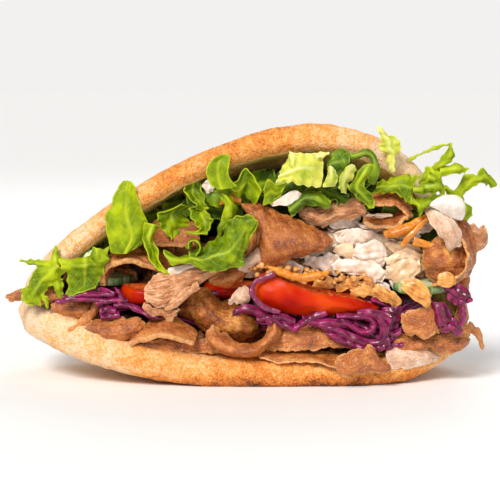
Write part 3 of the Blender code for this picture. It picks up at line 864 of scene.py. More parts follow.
# %% The lower slices, from left to right
hand_slice("meat_tip", (
    (-8,2,0, -8.5,0,-1, -7.5,-2,0), (0,3.5,0, 0,0.5,-2, 0.5,-2.5,0), (6,4.5,1, 6,0.5,-2, 6.5,-3,0),
    (12,5,1, 12.5,0.5,-2, 12.5,-3,0), (16.5,3,1, 17.5,0,0, 17.5,-2,0),
), seed=11, torn=0.8)
hand_slice("meat_flat", (
    (-10,-2.5,0, -10.5,-4,-1, -9,-6,0), (-4.5,-0.5,1, -4.5,-4,-2, -4.5,-8,0), (1,-0.5,1, 1,-4.5,-2.5, 1,-10,0),
    (6.5,-1.5,1, 6.5,-4,-2, 5,-9,0), (9.5,-2,1, 9.5,-3.5,0, 8.5,-5.5,0),
), seed=12, finish=dark_meat)
hand_slice("meat_flat", (
    (10.5,0.5,-1, 12,1,-2, 13.5,-0.5,-1), (8.5,-3,-3, 10,-4,-4.5, 12,-5,-3), (5.5,-7,-4, 7.5,-8,-5.5, 9.5,-9.5,-4),
    (3,-9.5,-5, 4.5,-11,-6, 6.5,-13,-5), (-1,-12,-6, 0,-13,-7, 2,-14.5,-6),
    (-3,-13.5,-6, -2.5,-14.2,-6.5, -1.5,-15,-6),
), name="slice_prong", seed=13, torn=0.5, thick=2.0, cell=0.6)
hand_slice("meat_slab", (
    (-9.5,1.5,1, -11,-1,0, -11.5,-3,0), (-6,3,1, -6,-1.5,-2, -6.5,-4.5,0), (0,1.5,1, -0.5,-2.5,-3, -1,-7,0),
    (6,3.5,1, 5.5,-2,-3, 4.5,-8,0), (11.5,4,1, 11.5,-0.5,-2.5, 9.5,-7,0), (14,3,1, 15,0,0, 14,-3.5,1),
), seed=14, torn=0.9)
hand_slice("meat_arch", (
    (-16.5,-7.5,-4, -15.5,-6,0, -14,-4,5), (-11.5,-4.5,-6, -10,-1.5,0, -8,1,6), (-5,-2.5,-7.5, -4,1,-1, -3,3.5,7),
    (1,-2.5,-8, 1.5,1,-1, 2,3.5,7), (6.5,-4.5,-7, 7,-1,0, 7.5,1.5,7), (12.5,-7,-5, 13,-4.5,0, 13.5,-2.5,5),
), seed=15, thick=3.0, torn=0.5, rim=0.85)
hand_slice("meat_arch", (
    (-12,-6,0, -12,-9,-1), (-4,-5,1, -4,-10,0), (5,-5.5,2, 5,-11,1), (14,-5,3, 14,-12,1), (22,-4,4, 22,-12,1),
), name="slice_tucked", seed=16, finish=dark_meat)
hand_slice("meat_cup", (
    (-13,6.5,1, -15,3.5,-1, -16,1,1), (-10,3.5,1, -13,0,-4, -14,-3,0), (-6,1.5,1, -8,-3,-6, -9.5,-6.5,0),
    (-0.5,-2,0, -1.5,-5,-7, -2,-8.5,0), (6.5,-2,0, 6,-4.5,-7, 6,-7.5,1), (11,0.5,0, 11.5,-1.5,-5, 12,-4,2),
    (12,5,0, 15,3,-3, 17.5,1,2), (12.5,8,1, 15.5,8.5,-1, 18,7,2),
), seed=17, thick=1.8, torn=0.8, rim=0.4)
hand_slice("meat_chunk", (
    (-18,7,3, -20,4,2, -21,1.5,2, -17,-2,4), (-14,13,3, -15,8,-3, -14.5,2,-5, -12.5,-4,3),
    (-8,11.5,3, -8,5.5,-5, -8.5,-1.5,-7, -8,-9,2), (-2.5,5,4, -2,0.5,-5, -2,-4,-7, -2.5,-9,2),
    (3,5.5,4, 4,0,-5, 4,-6,-7, 3,-10.5,2), (9,2,4, 10.5,-2,-5, 10.5,-7,-6, 9.5,-12,3),
    (13.5,-2,4, 16,-4.5,0, 16,-7,0, 14,-10.5,4),
), seed=18, thick=2.8, torn=1.5, wavy=0.5, rim=0.3, grit=1.3, cell=0.7, finish=roast)
hand_slice("meat_serrated", (
    (-23.5,-2.5,1, -25.5,-4,0, -26,-6,0), (-19,1,1, -19.5,-2.5,-2, -20,-6.5,-3),
    (-13,5.5,1, -13,-0.5,-2.5, -13.5,-6.5,-4), (-5.5,4.5,1, -5.5,-1,-3, -6,-6,-4.5), (2,6,1, 2,0,-3, 1.5,-5.5,-4.5),
    (9.5,3.5,1, 9.5,-1,-2, 9,-5,-4), (18.5,-3,1, 19,-4,0, 18.5,-5.5,-1),
), seed=19, torn=0.75, torn_step=2.0, thick=2.2)
hand_slice("meat_ledge", (
    (-22.5,2.5,5, -22.5,1.5,0, -21.5,0,-4), (-14,1.5,6, -14,0,0, -14,-1.5,-6), (-3,1.5,6, -3,0,0, -3,-1.5,-7),
    (10,0.5,6, 10,-1,0, 10,-3,-8), (20,-0.5,5, 20,-2,0, 19,-4.5,-7),
), seed=20, torn=0.8)
hand_slice("meat_flap", (
    (-10.5,1,2, -11.5,-1.5,1, -11.5,-3.5,1), (-5.5,4,2, -6,-1.5,-1, -7,-7.5,0),
    (-0.5,5.5,2, -0.5,-0.5,-2.5, -2,-7,-1), (4.5,7.5,1, 5.5,1.5,0, 3.5,-5.5,0), (8.5,2.5,1, 9.5,-1,-2, 8.5,-5.5,0),
    (13,-1.5,2, 15,-3.5,1, 14.5,-5,1),
), seed=21, thick=1.2, torn=0.8, wavy=0.5, grit=0.6, finish=dark_meat)
hand_slice("meat_right_low", (
    (-9,3,2, -10.5,-1,0, -13,-5,0), (-4.5,3.5,2, -6,-1,-3, -9.5,-8,-1), (1,2.5,1, 1,-0.5,-3, -1,-4.5,-2),
    (7,1,1, 7,-1.5,-2, 6,-4,-1), (12,0,1, 12.5,-1,0, 11,-2.5,0),
), seed=22)
hand_slice("meat_right_low", (
    (-12,-2,-3, -12.5,-7,-6, -12,-12,-6), (-6,0,-2, -6,-7,-5, -6,-13,-5), (0,-1,0, 0,-7,-3.5, 0,-12.5,-3),
    (6,-3,2, 7,-7,-0.5, 6,-11,0), (12,-7,5, 13,-8.5,4, 12,-10,4.5),
), name="slice_pale_low", seed=42, finish=pale_meat, thick=1.2, torn=0.5, wavy=0.3, grit=0.2)
hand_slice("meat_right_face", (
    (-10.5,1,-1, -9.5,-3,-1.5, -8.5,-7.5,-1), (-5,3,-2.5, -4.5,-2.5,-4, -4,-9,-3),
    (0.5,6,-3, 1,-1.5,-4.5, 1.5,-9.5,-3.5), (3,8,-2, 4.5,-1.5,-3, 6,-8,-2), (4.5,4,-1, 6,-2,-1.5, 8,-7,-1),
), seed=23, thick=1.8, torn=0.8)
hand_slice("meat_right_ledge", (
    (-14,-1.5,-6, -14,-3,-7, -13.5,-4.5,-5), (-6,-1,-4, -6,-3.5,-7, -6,-6,-5), (2,0,-2, 2,-3,-5, 1.5,-6,-4),
    (7,1,2, 8,-1.5,0, 7,-4.5,-1),
), seed=24, torn=0.9, grit=0.7)
print("lower slices done")

# %% The upper slices
hand_slice("meat_diagonal", (
    (-17.5,3,-1, -20,-3,-2, -19,-8,-1), (-14,6.5,-2, -14,-2,-3, -14,-10,-2), (-6.5,8.5,-2, -7,1,-3.5, -9.5,-8.5,-2.5),
    (1,9.5,-2, 0,4,-3, -2,-3.5,-2.5), (8.5,10,0, 7,6.5,-1.5, 4,0.5,-1), (15.5,10.5,2, 14,8.5,0, 11.5,5,1),
    (21.5,11.5,2, 21,10.5,1, 19.5,9,2),
), (
    (-11,-9.5,-2, -10,-11,-2.5, -9,-12,-2), (-6,-4.5,-4, -5,-6.5,-5, -4,-8,-4), (-1,0,-4, 0.5,-2,-5, 1.5,-3.5,-4),
    (3.5,3,-3, 5,1,-4, 6,-0.5,-3),
), seed=31, fibre_turn=4, torn=0.7, thick=1.8, wavy=0.3, finish=light_meat, grit=0.35)
hand_slice("meat_curl", (
    (-19.5,-11.5,-7, -19.5,-9,2, -18,-7.5,10), (-19.5,-5.5,-9, -18.5,-2.5,2, -16,1,10),
    (-16.5,-1.5,-10, -14.5,2,2, -12,4,10), (-10.5,0.5,-10.5, -9,3.5,1, -7,6.5,10), (-3,0,-10, -2,3,1, -1,6.5,10),
    (3.5,-3,-9, 5,2,1, 6,6.5,10), (10,-6.5,-7, 12,0,3, 12.5,5,10),
), seed=32, finish=dark_meat, thick=3.0, rim=0.9, torn=0.45)
behind_leaf = carve("slice_behind_leaf", 26, 14, bends=(-20,), seed=33)
set_down(behind_leaf, middle_of("meat_behind_leaf"), tilt=60)
serve(behind_leaf, dark_meat, "meat", "meat_behind_leaf")
hand_slice("meat_hook", (
    (1.5,13.5,1, 3.5,14,-1, 6,12.5,1), (2.5,7,-1, 4,7,-3, 6.5,6,-1), (1.5,0.5,-3, 3,0.5,-5, 5,-0.5,-3),
    (-1,-5,-4, 0.5,-5,-6, 2.5,-5.5,-4), (-6,-7.5,-4, -3,-9.5,-8, -1,-11,-5),
    (-11.5,-9,-3, -9.5,-12,-8, -7.5,-14.5,-5), (-17,-12,-4, -16,-13.5,-6, -14.5,-15,-5),
), seed=34, rim=0.8, torn=0.35, thick=2.2)
hand_slice("meat_broad", (
    (-23,15,1, -22.5,14,-1, -21,12.5,-1, -20,11.5,1), (-14,14.5,2, -15,11,-5, -14.5,6.5,-5, -13,2,0),
    (-7.5,11.5,3, -9.5,4.5,-6, -11,-3.5,-7, -13.5,-13.5,0), (-0.5,9,3, -2,2,-7, -4.5,-5.5,-8, -8,-14,-1),
    (6,6,3, 5,0.5,-6, 3,-4.5,-7, -0.5,-10,-1), (12,3,3, 11.5,-1,-4, 10,-4.5,-5, 8,-8,0),
    (17,-0.5,3, 18.5,-2,0, 18,-3.5,0, 16,-6,2),
), seed=35, fibre_turn=62, finish=dark_meat, torn=0.5, thick=2.6, wavy=0.4, wavy_size=7, grit=0.75, cell=0.72)
hand_slice("meat_ragged_top", (
    (-19.5,1.5,1, -20,-0.5,0, -19,-2.5,0), (-14.5,3,1, -14.5,-0.5,-2.5, -14.5,-4.5,0),
    (-9,1.5,1, -9,-2.5,-3, -8.5,-7,0), (-2.5,5.5,2, -3,0,-3, -3.5,-5,0), (2,3.5,2, 2,0,-3, 2,-3.5,0),
    (7,7,2, 7,2,-2.5, 7.5,-3.5,0), (11.5,2.5,1, 12,0,-1, 11.5,-3,0),
), seed=36, torn=1.0, torn_step=2.0, rips=5, finish=light_meat, grit=0.6)
hand_slice("meat_pocket_roof", (
    (-9,-3.5,-7, -8,-1,0, -7,1.5,6), (-3,-3,-8, -3,0,-1, -2,2,6), (2,-3.5,-8, 2.5,0,-1, 2.5,2,6),
    (7,-6.5,-7, 7.5,-3,-1, 8,0,5), (11,-8.5,-5, 11.5,-6.5,0, 11,-5,4),
), seed=37, thick=2.6, torn=1.0)
hand_slice("meat_pocket_floor", (
    (-14.5,-1.5,-3, -14.5,0.5,2, -13.5,2,6), (-9,-3.5,-5, -9,-1,1, -8,1,6), (-2.5,-3.5,-6, -2.5,-0.5,0, -2,1.5,6),
    (3.5,-0.5,-5, 3.5,1.5,0, 3.5,3,6), (7.5,2.5,-3, 7.5,3.5,1, 7,4,5),
), seed=38, thick=2.4, torn=0.5, rim=0.8)
hand_slice("meat_big_curl", (
    (-16,22,-3, -15.5,23,0, -14.5,24,4), (-8.5,20,-8, -8,21.5,-1, -7,22.5,7), (-3.5,15,-11, -2.5,16.5,-2, -1.5,18,8),
    (-0.5,9,-12, 1,11,-2, 2,12.5,8), (0.5,3,-12, 3,4,-2, 3.5,4.5,8), (-2,-3,-12, 1,-3.5,-2, 1.5,-4,7),
    (-8,-6.5,-10, -5.5,-8.5,-2, -5,-10,5), (-15,-8.5,-7, -14,-10.5,-2, -13.5,-12,3),
), seed=39, finish=dark_meat, thick=2.2, torn=0.6, rim=0.5, cell=0.7)
hand_slice("meat_right_flap", (
    (-8,1.5,0, -8.5,-2.5,-2, -7,-7.5,0), (-4,4.5,0, -4,-2,-4, -4.5,-10,-1), (-1,2.5,0, -0.5,-2.5,-4, -1,-9.5,-1),
    (2,5,1, 3.5,0,-1, 3,-7,0),
), seed=40, torn=0.9, torn_step=2.0, finish=light_meat, grit=0.6)
hand_slice("meat_right_rag", (
    (-8,12,-4, -5,12.5,-6, -2.5,11.5,-4), (-8,7,-6, -6,6.5,-8, -3.5,6,-6), (-9,2,-6, -7.5,2,-8, -5.5,2.5,-6),
    (-9,-4,-6, -7,-4,-8, -4.5,-4,-6), (-9.5,-9,-6, -7,-9,-8, -3.5,-10.5,-6), (-10,-13,-5, -8,-12.5,-7, -5,-12.5,-5),
), (
    (-9,-13,-6, -8.5,-15,-7, -8,-17,-6), (-4,-10,-7, -4,-12.5,-8, -4,-15.5,-7),
    (-0.5,-12,-7, -1,-14,-8, -1.5,-15.5,-7), (2.5,-17,-6, 1.5,-18,-7, 0.5,-18.5,-6),
    (4,-22,-5, 3.5,-22,-5.5, 3,-22,-5),
), seed=41, torn=0.9, torn_step=2.0, thick=2.0)
print("upper slices done")

# %% [markdown]
# ## Lettuce
# Curly lettuce is stiff and springy. Its middle rib and veins are pale, and its rim grows faster than its
# middle, so it has to frill: it rolls up and down along the edge. Endive leaves have pointed teeth. The
# net tool's frill setting swings the rim up and down and in and out, and teeth cut a saw line into it. A
# thin wall and some light under the surface give a leaf its glow.

# %% The lettuce finishes


def leaf_finish(name, deep, middle, light, vein):
    finish = Finish(
        name, middle, roughness=0.4, Specular_IOR_Level=0.18, Subsurface_Weight=0.12,
        Subsurface_Radius=(0.0015, 0.002, 0.0004),
    )
    flat = finish.add("ShaderNodeUVMap", uv_map="UVMap").outputs["UV"]
    parts = finish.add("ShaderNodeSeparateXYZ")
    finish.feed(parts.inputs[0], flat)
    bend = finish.noise(6, detail=2)
    slant = finish.maths("SUBTRACT", parts.outputs[0], finish.maths("ABSOLUTE", parts.outputs[1], 0))
    slant = finish.sum(finish.times(slant, 1.9), finish.times(bend, 1.1))
    ridge = finish.maths("ABSOLUTE", finish.maths("SUBTRACT", finish.maths("FRACT", slant, 0), 0.5), 0)
    veins = finish.span(ridge, 0.0, 0.075, 1.0, 0.0)
    net = finish.cells(2.3, feature="DISTANCE_TO_EDGE")
    fine_veins = finish.span(net, 0.0, 0.10, 0.55, 0.0)
    patches = finish.noise(13, detail=3)
    colour = finish.ramp(patches, (0.34, deep), (0.50, middle), (0.64, light))
    pale = finish.maths("MAXIMUM", finish.times(veins, 0.5), finish.times(fine_veins, 0.3))
    pale = finish.maths("MAXIMUM", pale, finish.times(finish.attribute("rib"), 0.8))
    colour = finish.blend(pale, colour, vein)
    # The pale rim is a painted highlight along the leaf edges, as if light caught the rolled rims.
    rim = tuple(min(1.0, 1.25 * part) for part in vein)
    colour = finish.blend(finish.span(finish.attribute("edge"), 0.3, 0.85, 0.0, 0.45), colour, rim)
    pucker = finish.noise(2.6, detail=2)
    height = finish.maths("SUBTRACT", pucker, finish.times(pale, 0.5))
    shine = finish.span(pucker, 0.3, 0.7, 0.28, 0.5)
    return finish.paint(Base_Color=colour, Roughness=shine, Normal=finish.bump(height, 0.5))


green = leaf_finish("green_lettuce", (0.08, 0.145, 0.0), (0.21, 0.30, 0.0), (0.38, 0.46, 0.001), (0.52, 0.58, 0.02))
frill_green = leaf_finish(
    "frilly_lettuce", (0.035, 0.08, 0.0), (0.13, 0.21, 0.0), (0.34, 0.42, 0.001), (0.46, 0.54, 0.02),
)
deep_green = leaf_finish(
    "deep_lettuce", (0.020, 0.055, 0.001), (0.06, 0.13, 0.002), (0.18, 0.28, 0.004), (0.32, 0.42, 0.04),
)
pale_green = leaf_finish(
    "heart_lettuce", (0.30, 0.38, 0.01), (0.55, 0.56, 0.05), (0.72, 0.68, 0.14), (0.80, 0.76, 0.34),
)

# %% A leaf laid through a given net


def hand_leaf(node, *nets, finish=green, slot="lettuce", name=None, **shape):
    """A leaf laid around the middle of its solid; one with a name of its own is an extra piece."""
    shape = {"thick": 0.75, "torn": 0.28, "torn_step": 1.6, "cell": 0.55, "wavy": 0.45, "wavy_size": 6.0, "rim": 0.85,
             "frill": 0.7, "frill_step": 6.5, "rips": 0, **shape}
    obj = all_laid(name or node.replace("leaf_", "lettuce_"), node, nets, shape)
    return serve(obj, finish, slot, *([] if name else [node]))


# %% The leaves at the left
hand_leaf("leaf_left_tip", (
    (4,10,0, 7,7.5,-2, 10,4.5,0), (-1.5,7.5,0, 2.5,3,-2.5, 6.5,-1,0), (-5,3,1, -1,0,-1, 2.5,-3,0),
    (-7.5,-2,1, -3.5,-4,-2, 0,-6.5,0), (-10.5,-5.5,1, -6,-8,-1.5, -1.5,-11,0), (-10.5,-9,1, -8,-10.5,0, -6,-11.5,0),
), (
    (3.5,6.5,0, 6,7,-1.5, 9.5,7.5,0), (3.5,10.5,0.5, 5.5,11,-1, 8.5,10.5,0.5), (4.5,14,1, 5.7,14,0.5, 7,13,1),
    (5.3,15.8,1.5, 5.7,15.9,1.3, 6.1,15.6,1.5),
), (
    (3,9.5,0, 3.5,7.5,-1.5, 4,5,0), (-2,9.7,0, -2,8,-1, -1.5,6.3,0), (-6,9.7,0.5, -6,8.6,-0.3, -5.5,7.5,0.5),
    (-11.5,9.5,1, -11.4,9.1,0.9, -11.2,8.7,1),
), (
    (-2.5,-5,0, -0.5,-6.5,-1, 2,-7.5,0), (-0.5,-9,0, 0.7,-9.5,-0.8, 2.2,-10,0),
    (1.2,-12.5,0.5, 1.6,-12.7,0.4, 2,-12.8,0.5),
), (
    (3.5,1,0, 6,0.5,-1, 9,1,0), (5,-4,0, 7,-4,-1, 9,-3.5,0), (8,-8.5,0.4, 8.5,-8.7,0.2, 9,-8.5,0.4),
), seed=51, frill=0.5, frill_step=5, teeth=1.0, tooth_step=4.5)
hand_leaf("leaf_left_low", (
    (-9,5.5,3, -2,5,4, 6,7,4, 13,10.5,3), (-9,2.5,-1, -1.5,2.5,-2.5, 7,3.5,-2.5, 13,4.5,0),
    (-6,-2.5,1, -1,-2.5,0, 5.5,-1.5,0, 10.5,-1.5,1), (-5.5,-9,2, -1,-8,1, 4.5,-6.5,1, 8.5,-5.5,2),
    (-9,-15.5,0, -5,-13,-0.5, 0,-10.5,-1.5, 7,-8.5,-0.5),
), seed=52, frill=0.5, teeth=1.0, tooth_step=6)
hand_leaf("leaf_left_low", (
    (6,11,-2, 8,10.5,-3, 10,9.5,-2), (5.5,7,-2, 8.5,7,-4, 12.5,7,-2), (4.5,4.5,-2, 8,3.5,-3, 13,5,-2),
), name="lettuce_left_fold", seed=58)
hand_leaf("leaf_tall", (
    (-7,-17,2, -1,-17,0, 6,-13,1), (-9,-9,1, 2,-9,-1, 11,-8,1), (-10,0,1, 0,0,-1, 9,-2,2), (-7,6,1, -0.5,6,-1, 6,5,2),
    (-5,12,2, 0,12,0.5, 4,12,2.5), (-2,16,3, 0,16.5,3, 2,16,3),
), seed=53, frill=0.45, frill_step=8, wavy=0.3)
hand_leaf("leaf_tall_branch", (
    (-5,13,1, -1,12,-1, 2,11,1), (-6,6,1, -3,6,-2, -1,6,1), (-4,0,-1, -1.5,0,2, 1,0,-1),
    (-2,-5,-2, 0,-5,1.5, 2,-5.5,-1), (1.5,-9,-1, 3,-9,0, 5,-9,0), (6,-11,0, 7,-11,0, 8,-10.5,0),
), seed=54, frill=0.25)
hand_leaf("leaf_frill_left", (
    (1.5,9.5,0, 3,9,3, 5,8,6), (-9.5,6,-2, -4,6,2, 3,5,7), (-10,1.5,-2.5, -4,1.5,1.5, 4,0.5,7),
    (-7,-3,-1.5, -3,-2.5,2, 3,-2.5,6), (-4,-7,0, -3,-6,2, 0,-4,4),
), (
    (4,8,0, 8,8.5,3, 11,8,1), (5.5,4,-2, 10,4,1, 14,4,0), (7.5,0,-3, 11,1,0, 15,2,-1),
    (9,-2,-3, 11.5,-2,-1, 13,-1.5,-2), (2,-3,0, 8,-4,-3, 12.5,-4,-3),
), (
    (2,20,1, 6,21,-1, 9,20,2), (1.5,17,-1, 6,17.5,2, 10,17,-1), (2,15,-2, 6,14,1, 11,12,0), (6,11,-2, 9,10,0, 12,9,1),
    (8,8,-1, 10,7,1, 13,8,1),
), seed=55, frill=0.8, frill_step=5.5, finish=frill_green)
hand_leaf("leaf_frill_low", (
    (-11.5,2,2, -11.5,-1,-1, -10.5,-3.5,0), (-6,3,3, -5.5,-2,-3, -5.5,-6.5,-2), (-0.5,6.5,5, 0.5,0,-3, -0.5,-7.5,-2),
    (3.5,8.5,5, 6.5,2,-3, 6.5,-6,-1), (5,14,3, 10.5,6.5,-2, 12.5,-5,0), (9,17.5,0, 14,12,0, 15,4,3),
    (16,18.5,-1, 19,16,0, 20,14.5,1),
), (
    (-23,2.5,1, -23,1,-1, -22.5,-1,0), (-20,1,1.5, -20,-1.5,-1.5, -19.5,-4,0),
    (-15,-1,2, -15,-2.5,-1.5, -14.5,-4.5,0), (-10,-0.5,2, -10,-2,-1, -10,-3.5,0),
), (
    (-12,3,-4, -11.5,6,-4, -9.3,7,-4, -7,5.5,-4, -6.8,2.5,-4, -8.5,0,-3.5),
    (-12,3,1, -11.5,6,1, -9.3,7,1, -7,5.5,1, -6.8,2.5,1, -8.5,0,0),
    (-11,3.5,5, -10.5,5.5,5, -9.3,6,5, -8,5,5, -8,3,5, -8.5,1.5,4),
), seed=56, frill=0.6, frill_step=7, finish=frill_green, cell=0.65)
hand_leaf("leaf_frill_mid", (
    (0,11,0, 3,10.5,-1, 6,9.5,1), (3,8,-1, 6,7.5,-3, 8.5,6.5,0), (4.5,4,-1, 7.5,3.5,-3, 9.5,3,1),
    (3,-1,-2, 6.5,-1,-3, 9.5,0,1), (1.5,-6,-2, 4,-5.5,-3, 7.5,-3,0), (1,-9.5,-2, 2.5,-10.5,-2, 4.5,-7.5,-1),
), seed=57, frill=0.35, finish=frill_green)
hand_leaf("leaf_up", (
    (-4,-6,0, 0.5,-7,1.5, 7.5,-5.5,0), (-6,-2,-1, -1,-3,1, 4,-2,-0.5), (-7,2,-1.5, -1.5,2,0.5, 3.5,3,-1),
    (-4,6.5,-1, -0.5,6.5,0.5, 4,6,-0.5), (-1,8.5,0, 2,9,0.5, 4.5,8,0),
), seed=58, frill=0.2, wavy=0.25)
hand_leaf("leaf_peak", (
    (-14.5,5,0, -14.5,3.5,1, -14,2,2), (-11,7,-1, -10.5,2,2, -11,-1,4), (-6.5,12,-1.5, -6.5,6,2, -8,0.5,5),
    (-3,8,-2, -3.5,3,2, -5,-2.5,4), (0.5,2,-2, -0.5,-0.5,0, -2.5,-5,2),
), (
    (1,2.5,-1, 1.5,-0.5,1, 0.5,-5,2), (3.5,7,-2, 4,2,1, 3,-4.5,2), (7,4.5,-1, 7.5,1,2, 6,-3,3),
    (12,7,-2, 10.5,3,0, 9,-0.5,2),
), seed=59, frill=0.3, finish=frill_green)

# %% The leaves at the top and right
hand_leaf("leaf_pale", (
    (-10,1.5,1, -11,-1.5,0, -12.5,-5,0), (-7,6,1, -6.5,0.5,-1.5, -7.5,-4,-1), (-1.5,9,1, -1.5,2.5,-2, -2.5,-5,-1),
    (4,9,1, 4,2.5,-2, 3,-6,-1), (9,8.5,2, 9.5,2.5,0, 8.5,-6.5,1),
), (
    (-6.5,10.5,0, -5.5,10.2,-0.5, -3,9.5,0), (-6,6,0, -4.5,5.5,-2, -2,5,0), (-5.5,2,0, -4,1.5,-2, -2,1,0),
), (
    (6,9.5,-1, 6,8,-2, 6,6.5,-1), (12.5,9.8,-1, 12.3,9.2,-1.2, 12,8.5,-1),
), (
    (11.5,2.5,0, 13,3,-1, 15,1,0), (10.5,-2,0, 13,-2,-1.5, 16,-2,0), (9.5,-6,1, 12,-6,0, 14.5,-6,0),
), (
    (22,4,0, 23,4,-0.5, 24.5,3,0), (18,0,0, 20,-1,-2, 23,-1,0), (16.5,-5,0, 18.5,-5,-1.5, 21,-5,0),
    (17,-9,0, 19,-9,0, 20,-9.5,0),
), seed=60, finish=pale_green, slot="pale_lettuce", frill=0.6, frill_step=4.5, torn=0.5, teeth=0.8)
hand_leaf("leaf_dark_top", (
    (-13.5,3,1, -14,0,1, -13.5,-2.5,1), (-10.5,7,1, -10.5,2,-1, -10.5,-3,0), (-6,8,1, -6,2.5,-1.5, -6.5,-2.5,0),
    (-3,5.5,0, -3.5,2,-1, -5,-1.5,0),
), (
    (-3.5,5.5,0, -3,4.5,-1, -2.5,3,0), (1,7.5,0, 1.5,6,-1.5, 2,4.5,0), (6,7.5,-1, 6,5.5,-2, 5.5,3.5,-1),
    (9.5,2,-1, 8,1,-2.5, 6,0,-1), (9.5,-4,-1, 7.5,-4,-2.5, 5,-4,-1), (7.5,-8.5,-1, 6,-7.5,-2, 4.5,-7,-1),
), seed=61, finish=deep_green, frill=0.3)
hand_leaf("leaf_curl_down", (
    (-1.5,10,0, 1,11,-1, 3.5,10,0), (-5,5,0, -2.5,5.5,-2, 0.5,4.5,0), (-8,-0.5,0, -5,0,-2, -2,1,0),
    (-5,-3.5,0, -2,-3.5,-2, 1.5,-2.5,0), (-1,-7.5,0, 1,-7,-1, 3,-5.5,0), (2,-9,0, 2.5,-9.5,0, 3,-9,0),
), seed=62, frill=0.3, finish=frill_green)
hand_leaf("leaf_loop", (
    (-11,-3,1, -10,-5.5,0, -9,-8.5,0), (-8,0,2, -7,-3,-1, -6.5,-7,0), (-4,3,2, -3,0.5,-2, -3.5,-3,0),
    (1.5,3.5,2, 2,0,-3, 1,-3,0), (6,1.5,2, 6,-1.5,-2, 5.5,-4,0), (9,-1.5,1, 9,-3,0, 8,-4.5,0),
), seed=63, finish=deep_green, frill=0.25)
hand_leaf("leaf_right_broad", (
    (-18,8,2, -18.5,5.5,1, -20,2.5,1), (-12,9.5,2, -12.5,6,-1, -13.5,3,0), (-6,11,2, -7,6.5,-2, -8,2,-1),
    (-2,10.5,1, -3,5.5,-3, -5,-0.5,-2), (1.5,11.5,-1, -1,6.5,-3, -2.5,-2,-2),
), (
    (-5,0.5,-1, -4.5,-0.5,-2, -4,-1,-1), (-1,0.5,0, 0,-2,-2.5, 0.5,-4.5,-1), (3,1,1, 2.5,-3,-2.5, 1.5,-7.5,-1.5),
    (7.5,2,1, 6,-1,-2, 4,-4.5,-1), (13,2.5,2, 11,1,0, 8.5,-1.5,0),
), (
    (2,8,2, 1.5,5,0, 1,3,0), (6,9,1, 6,6,-1.5, 5,2.5,0), (11,9.5,1, 10.5,6,-1.5, 9,3,0), (13,5,2, 13,3.5,0, 13,2,0),
), (
    (5.5,13,0, 5,10.5,-2, 7,8,-1), (8,12,0, 8,9.5,-2.5, 9,7.5,-1), (11,11,0, 10,9,-1, 10.5,8,0),
), (
    (-2,6.5,-3, -2,5,-4, -1.5,3,-3), (2,6.5,-3, 2,5,-4.5, 2.5,2.5,-3), (3.5,6.5,-3, 3,5.5,-3.5, 2.5,4,-3),
), seed=64, frill=0.55, frill_step=5, teeth=1.8, tooth_step=4.5, finish=frill_green)
hand_leaf("leaf_spike_top", (
    (-5,11.5,0, -4,11,-0.5, -2.5,10.5,0), (-4,7.5,0, -2.5,7.5,-1, -1,8,0), (-3,4,0, 0,5,-1.5, 3,6.5,0),
    (-4.5,2,0, 0,2,-2, 5.5,3.5,0), (-1,-1,0, 2,-1,-1.5, 5,0,0), (-0.5,-5,0, 1.5,-5,-1, 3,-4,0),
    (1,-9.5,1, 1.7,-9.5,0.5, 2.3,-9,1),
), seed=65, finish=pale_green, slot="pale_lettuce", frill=0.5, frill_step=4, torn=0.5, teeth=1.4, tooth_step=3.6)
hand_leaf("leaf_right_sprig", (
    (-12.5,-1,1, -12.5,-1.8,0.5, -12.5,-2.5,1), (-6,2.5,1, -6,1.8,0.5, -6,1,1), (0,5,1, 0,4.2,0.5, 0,3.5,1),
    (7,6.5,1, 7,6.2,0.7, 7,5.8,1),
), (
    (7,7.2,0, 7.3,7,0, 7.6,6.7,0), (5.5,3.5,0, 7,3.5,-1, 8,3,0), (3,0.5,0, 6,0,-1.5, 8.3,-0.5,0),
    (0,-2.5,0, 3,-3,-1.5, 6,-3,0), (-3,-5.5,1, -1,-6,0, 2,-7,1),
), (
    (2,-4,1, 2,-6,-1, 1.5,-9.5,0), (6,-3.5,1, 6,-5.5,-1, 6,-8,0), (10,-3,1, 10,-5,-1, 10,-7.5,0),
    (13,-4.5,0.5, 13,-5.5,0, 13,-7.5,0), (15.5,-5,0, 15.2,-5.6,0, 14,-6.5,0),
), (
    (-4,-4,0.5, -1.5,-5,0, 2,-6,0.5), (-6,-8,0.5, -2,-9,-1, 3,-10,0.5), (-8,-12,1, -4,-13,0, 1,-14,1),
), seed=66, frill=0.25, torn=0.4, teeth=1.0, tooth_step=4)
hand_leaf("leaf_far_right", (
    (-8,-1.5,1, -6,-3,0, -4,-4.5,1), (-4,4,1, -2,1,-1, -1.5,-1,0), (-0.5,7.5,1, 0.5,4,-1, 2,1.5,0),
    (2.5,6,1, 4,4.5,-1.5, 6,2.5,0), (4.5,9.5,1, 6.5,6,-2, 7.5,2,0), (8,6.5,1, 9,4,-1.5, 9.5,0.5,0),
    (11.5,4,1, 12,2,-0.5, 12,1,0),
), (
    (-13.5,1,1, -12,1.5,0, -11,0.5,1), (-10,-3,1, -7,-2.5,-1, -5,-2.5,1), (-7,-7,1, -4,-6,-1, -1,-7,1),
    (-5.5,-10.5,1, -2,-10,-1, 1.5,-11,1), (-6.5,-16,1, -3.5,-15.5,0, -1,-15,1),
), seed=67, frill=0.3, teeth=1.4, tooth_step=5)
print("leaves done")

# %% [markdown]
# ## Round slices
# Tomato and cucumber are cut across, so each is a disc with skin round its rim. A cylinder is enough to
# start from: its caps are inset ring by ring, which gives the cut faces a fine round grid, and its rim is
# cut across its height so that it can bulge. Then the disc is bisected, because the back of each slice
# is tucked into the filling. The large tomato slice in front is seen edge on and sags, so its skin and its
# cut face are laid through nets, like the meat.

# %% Cutting a round slice


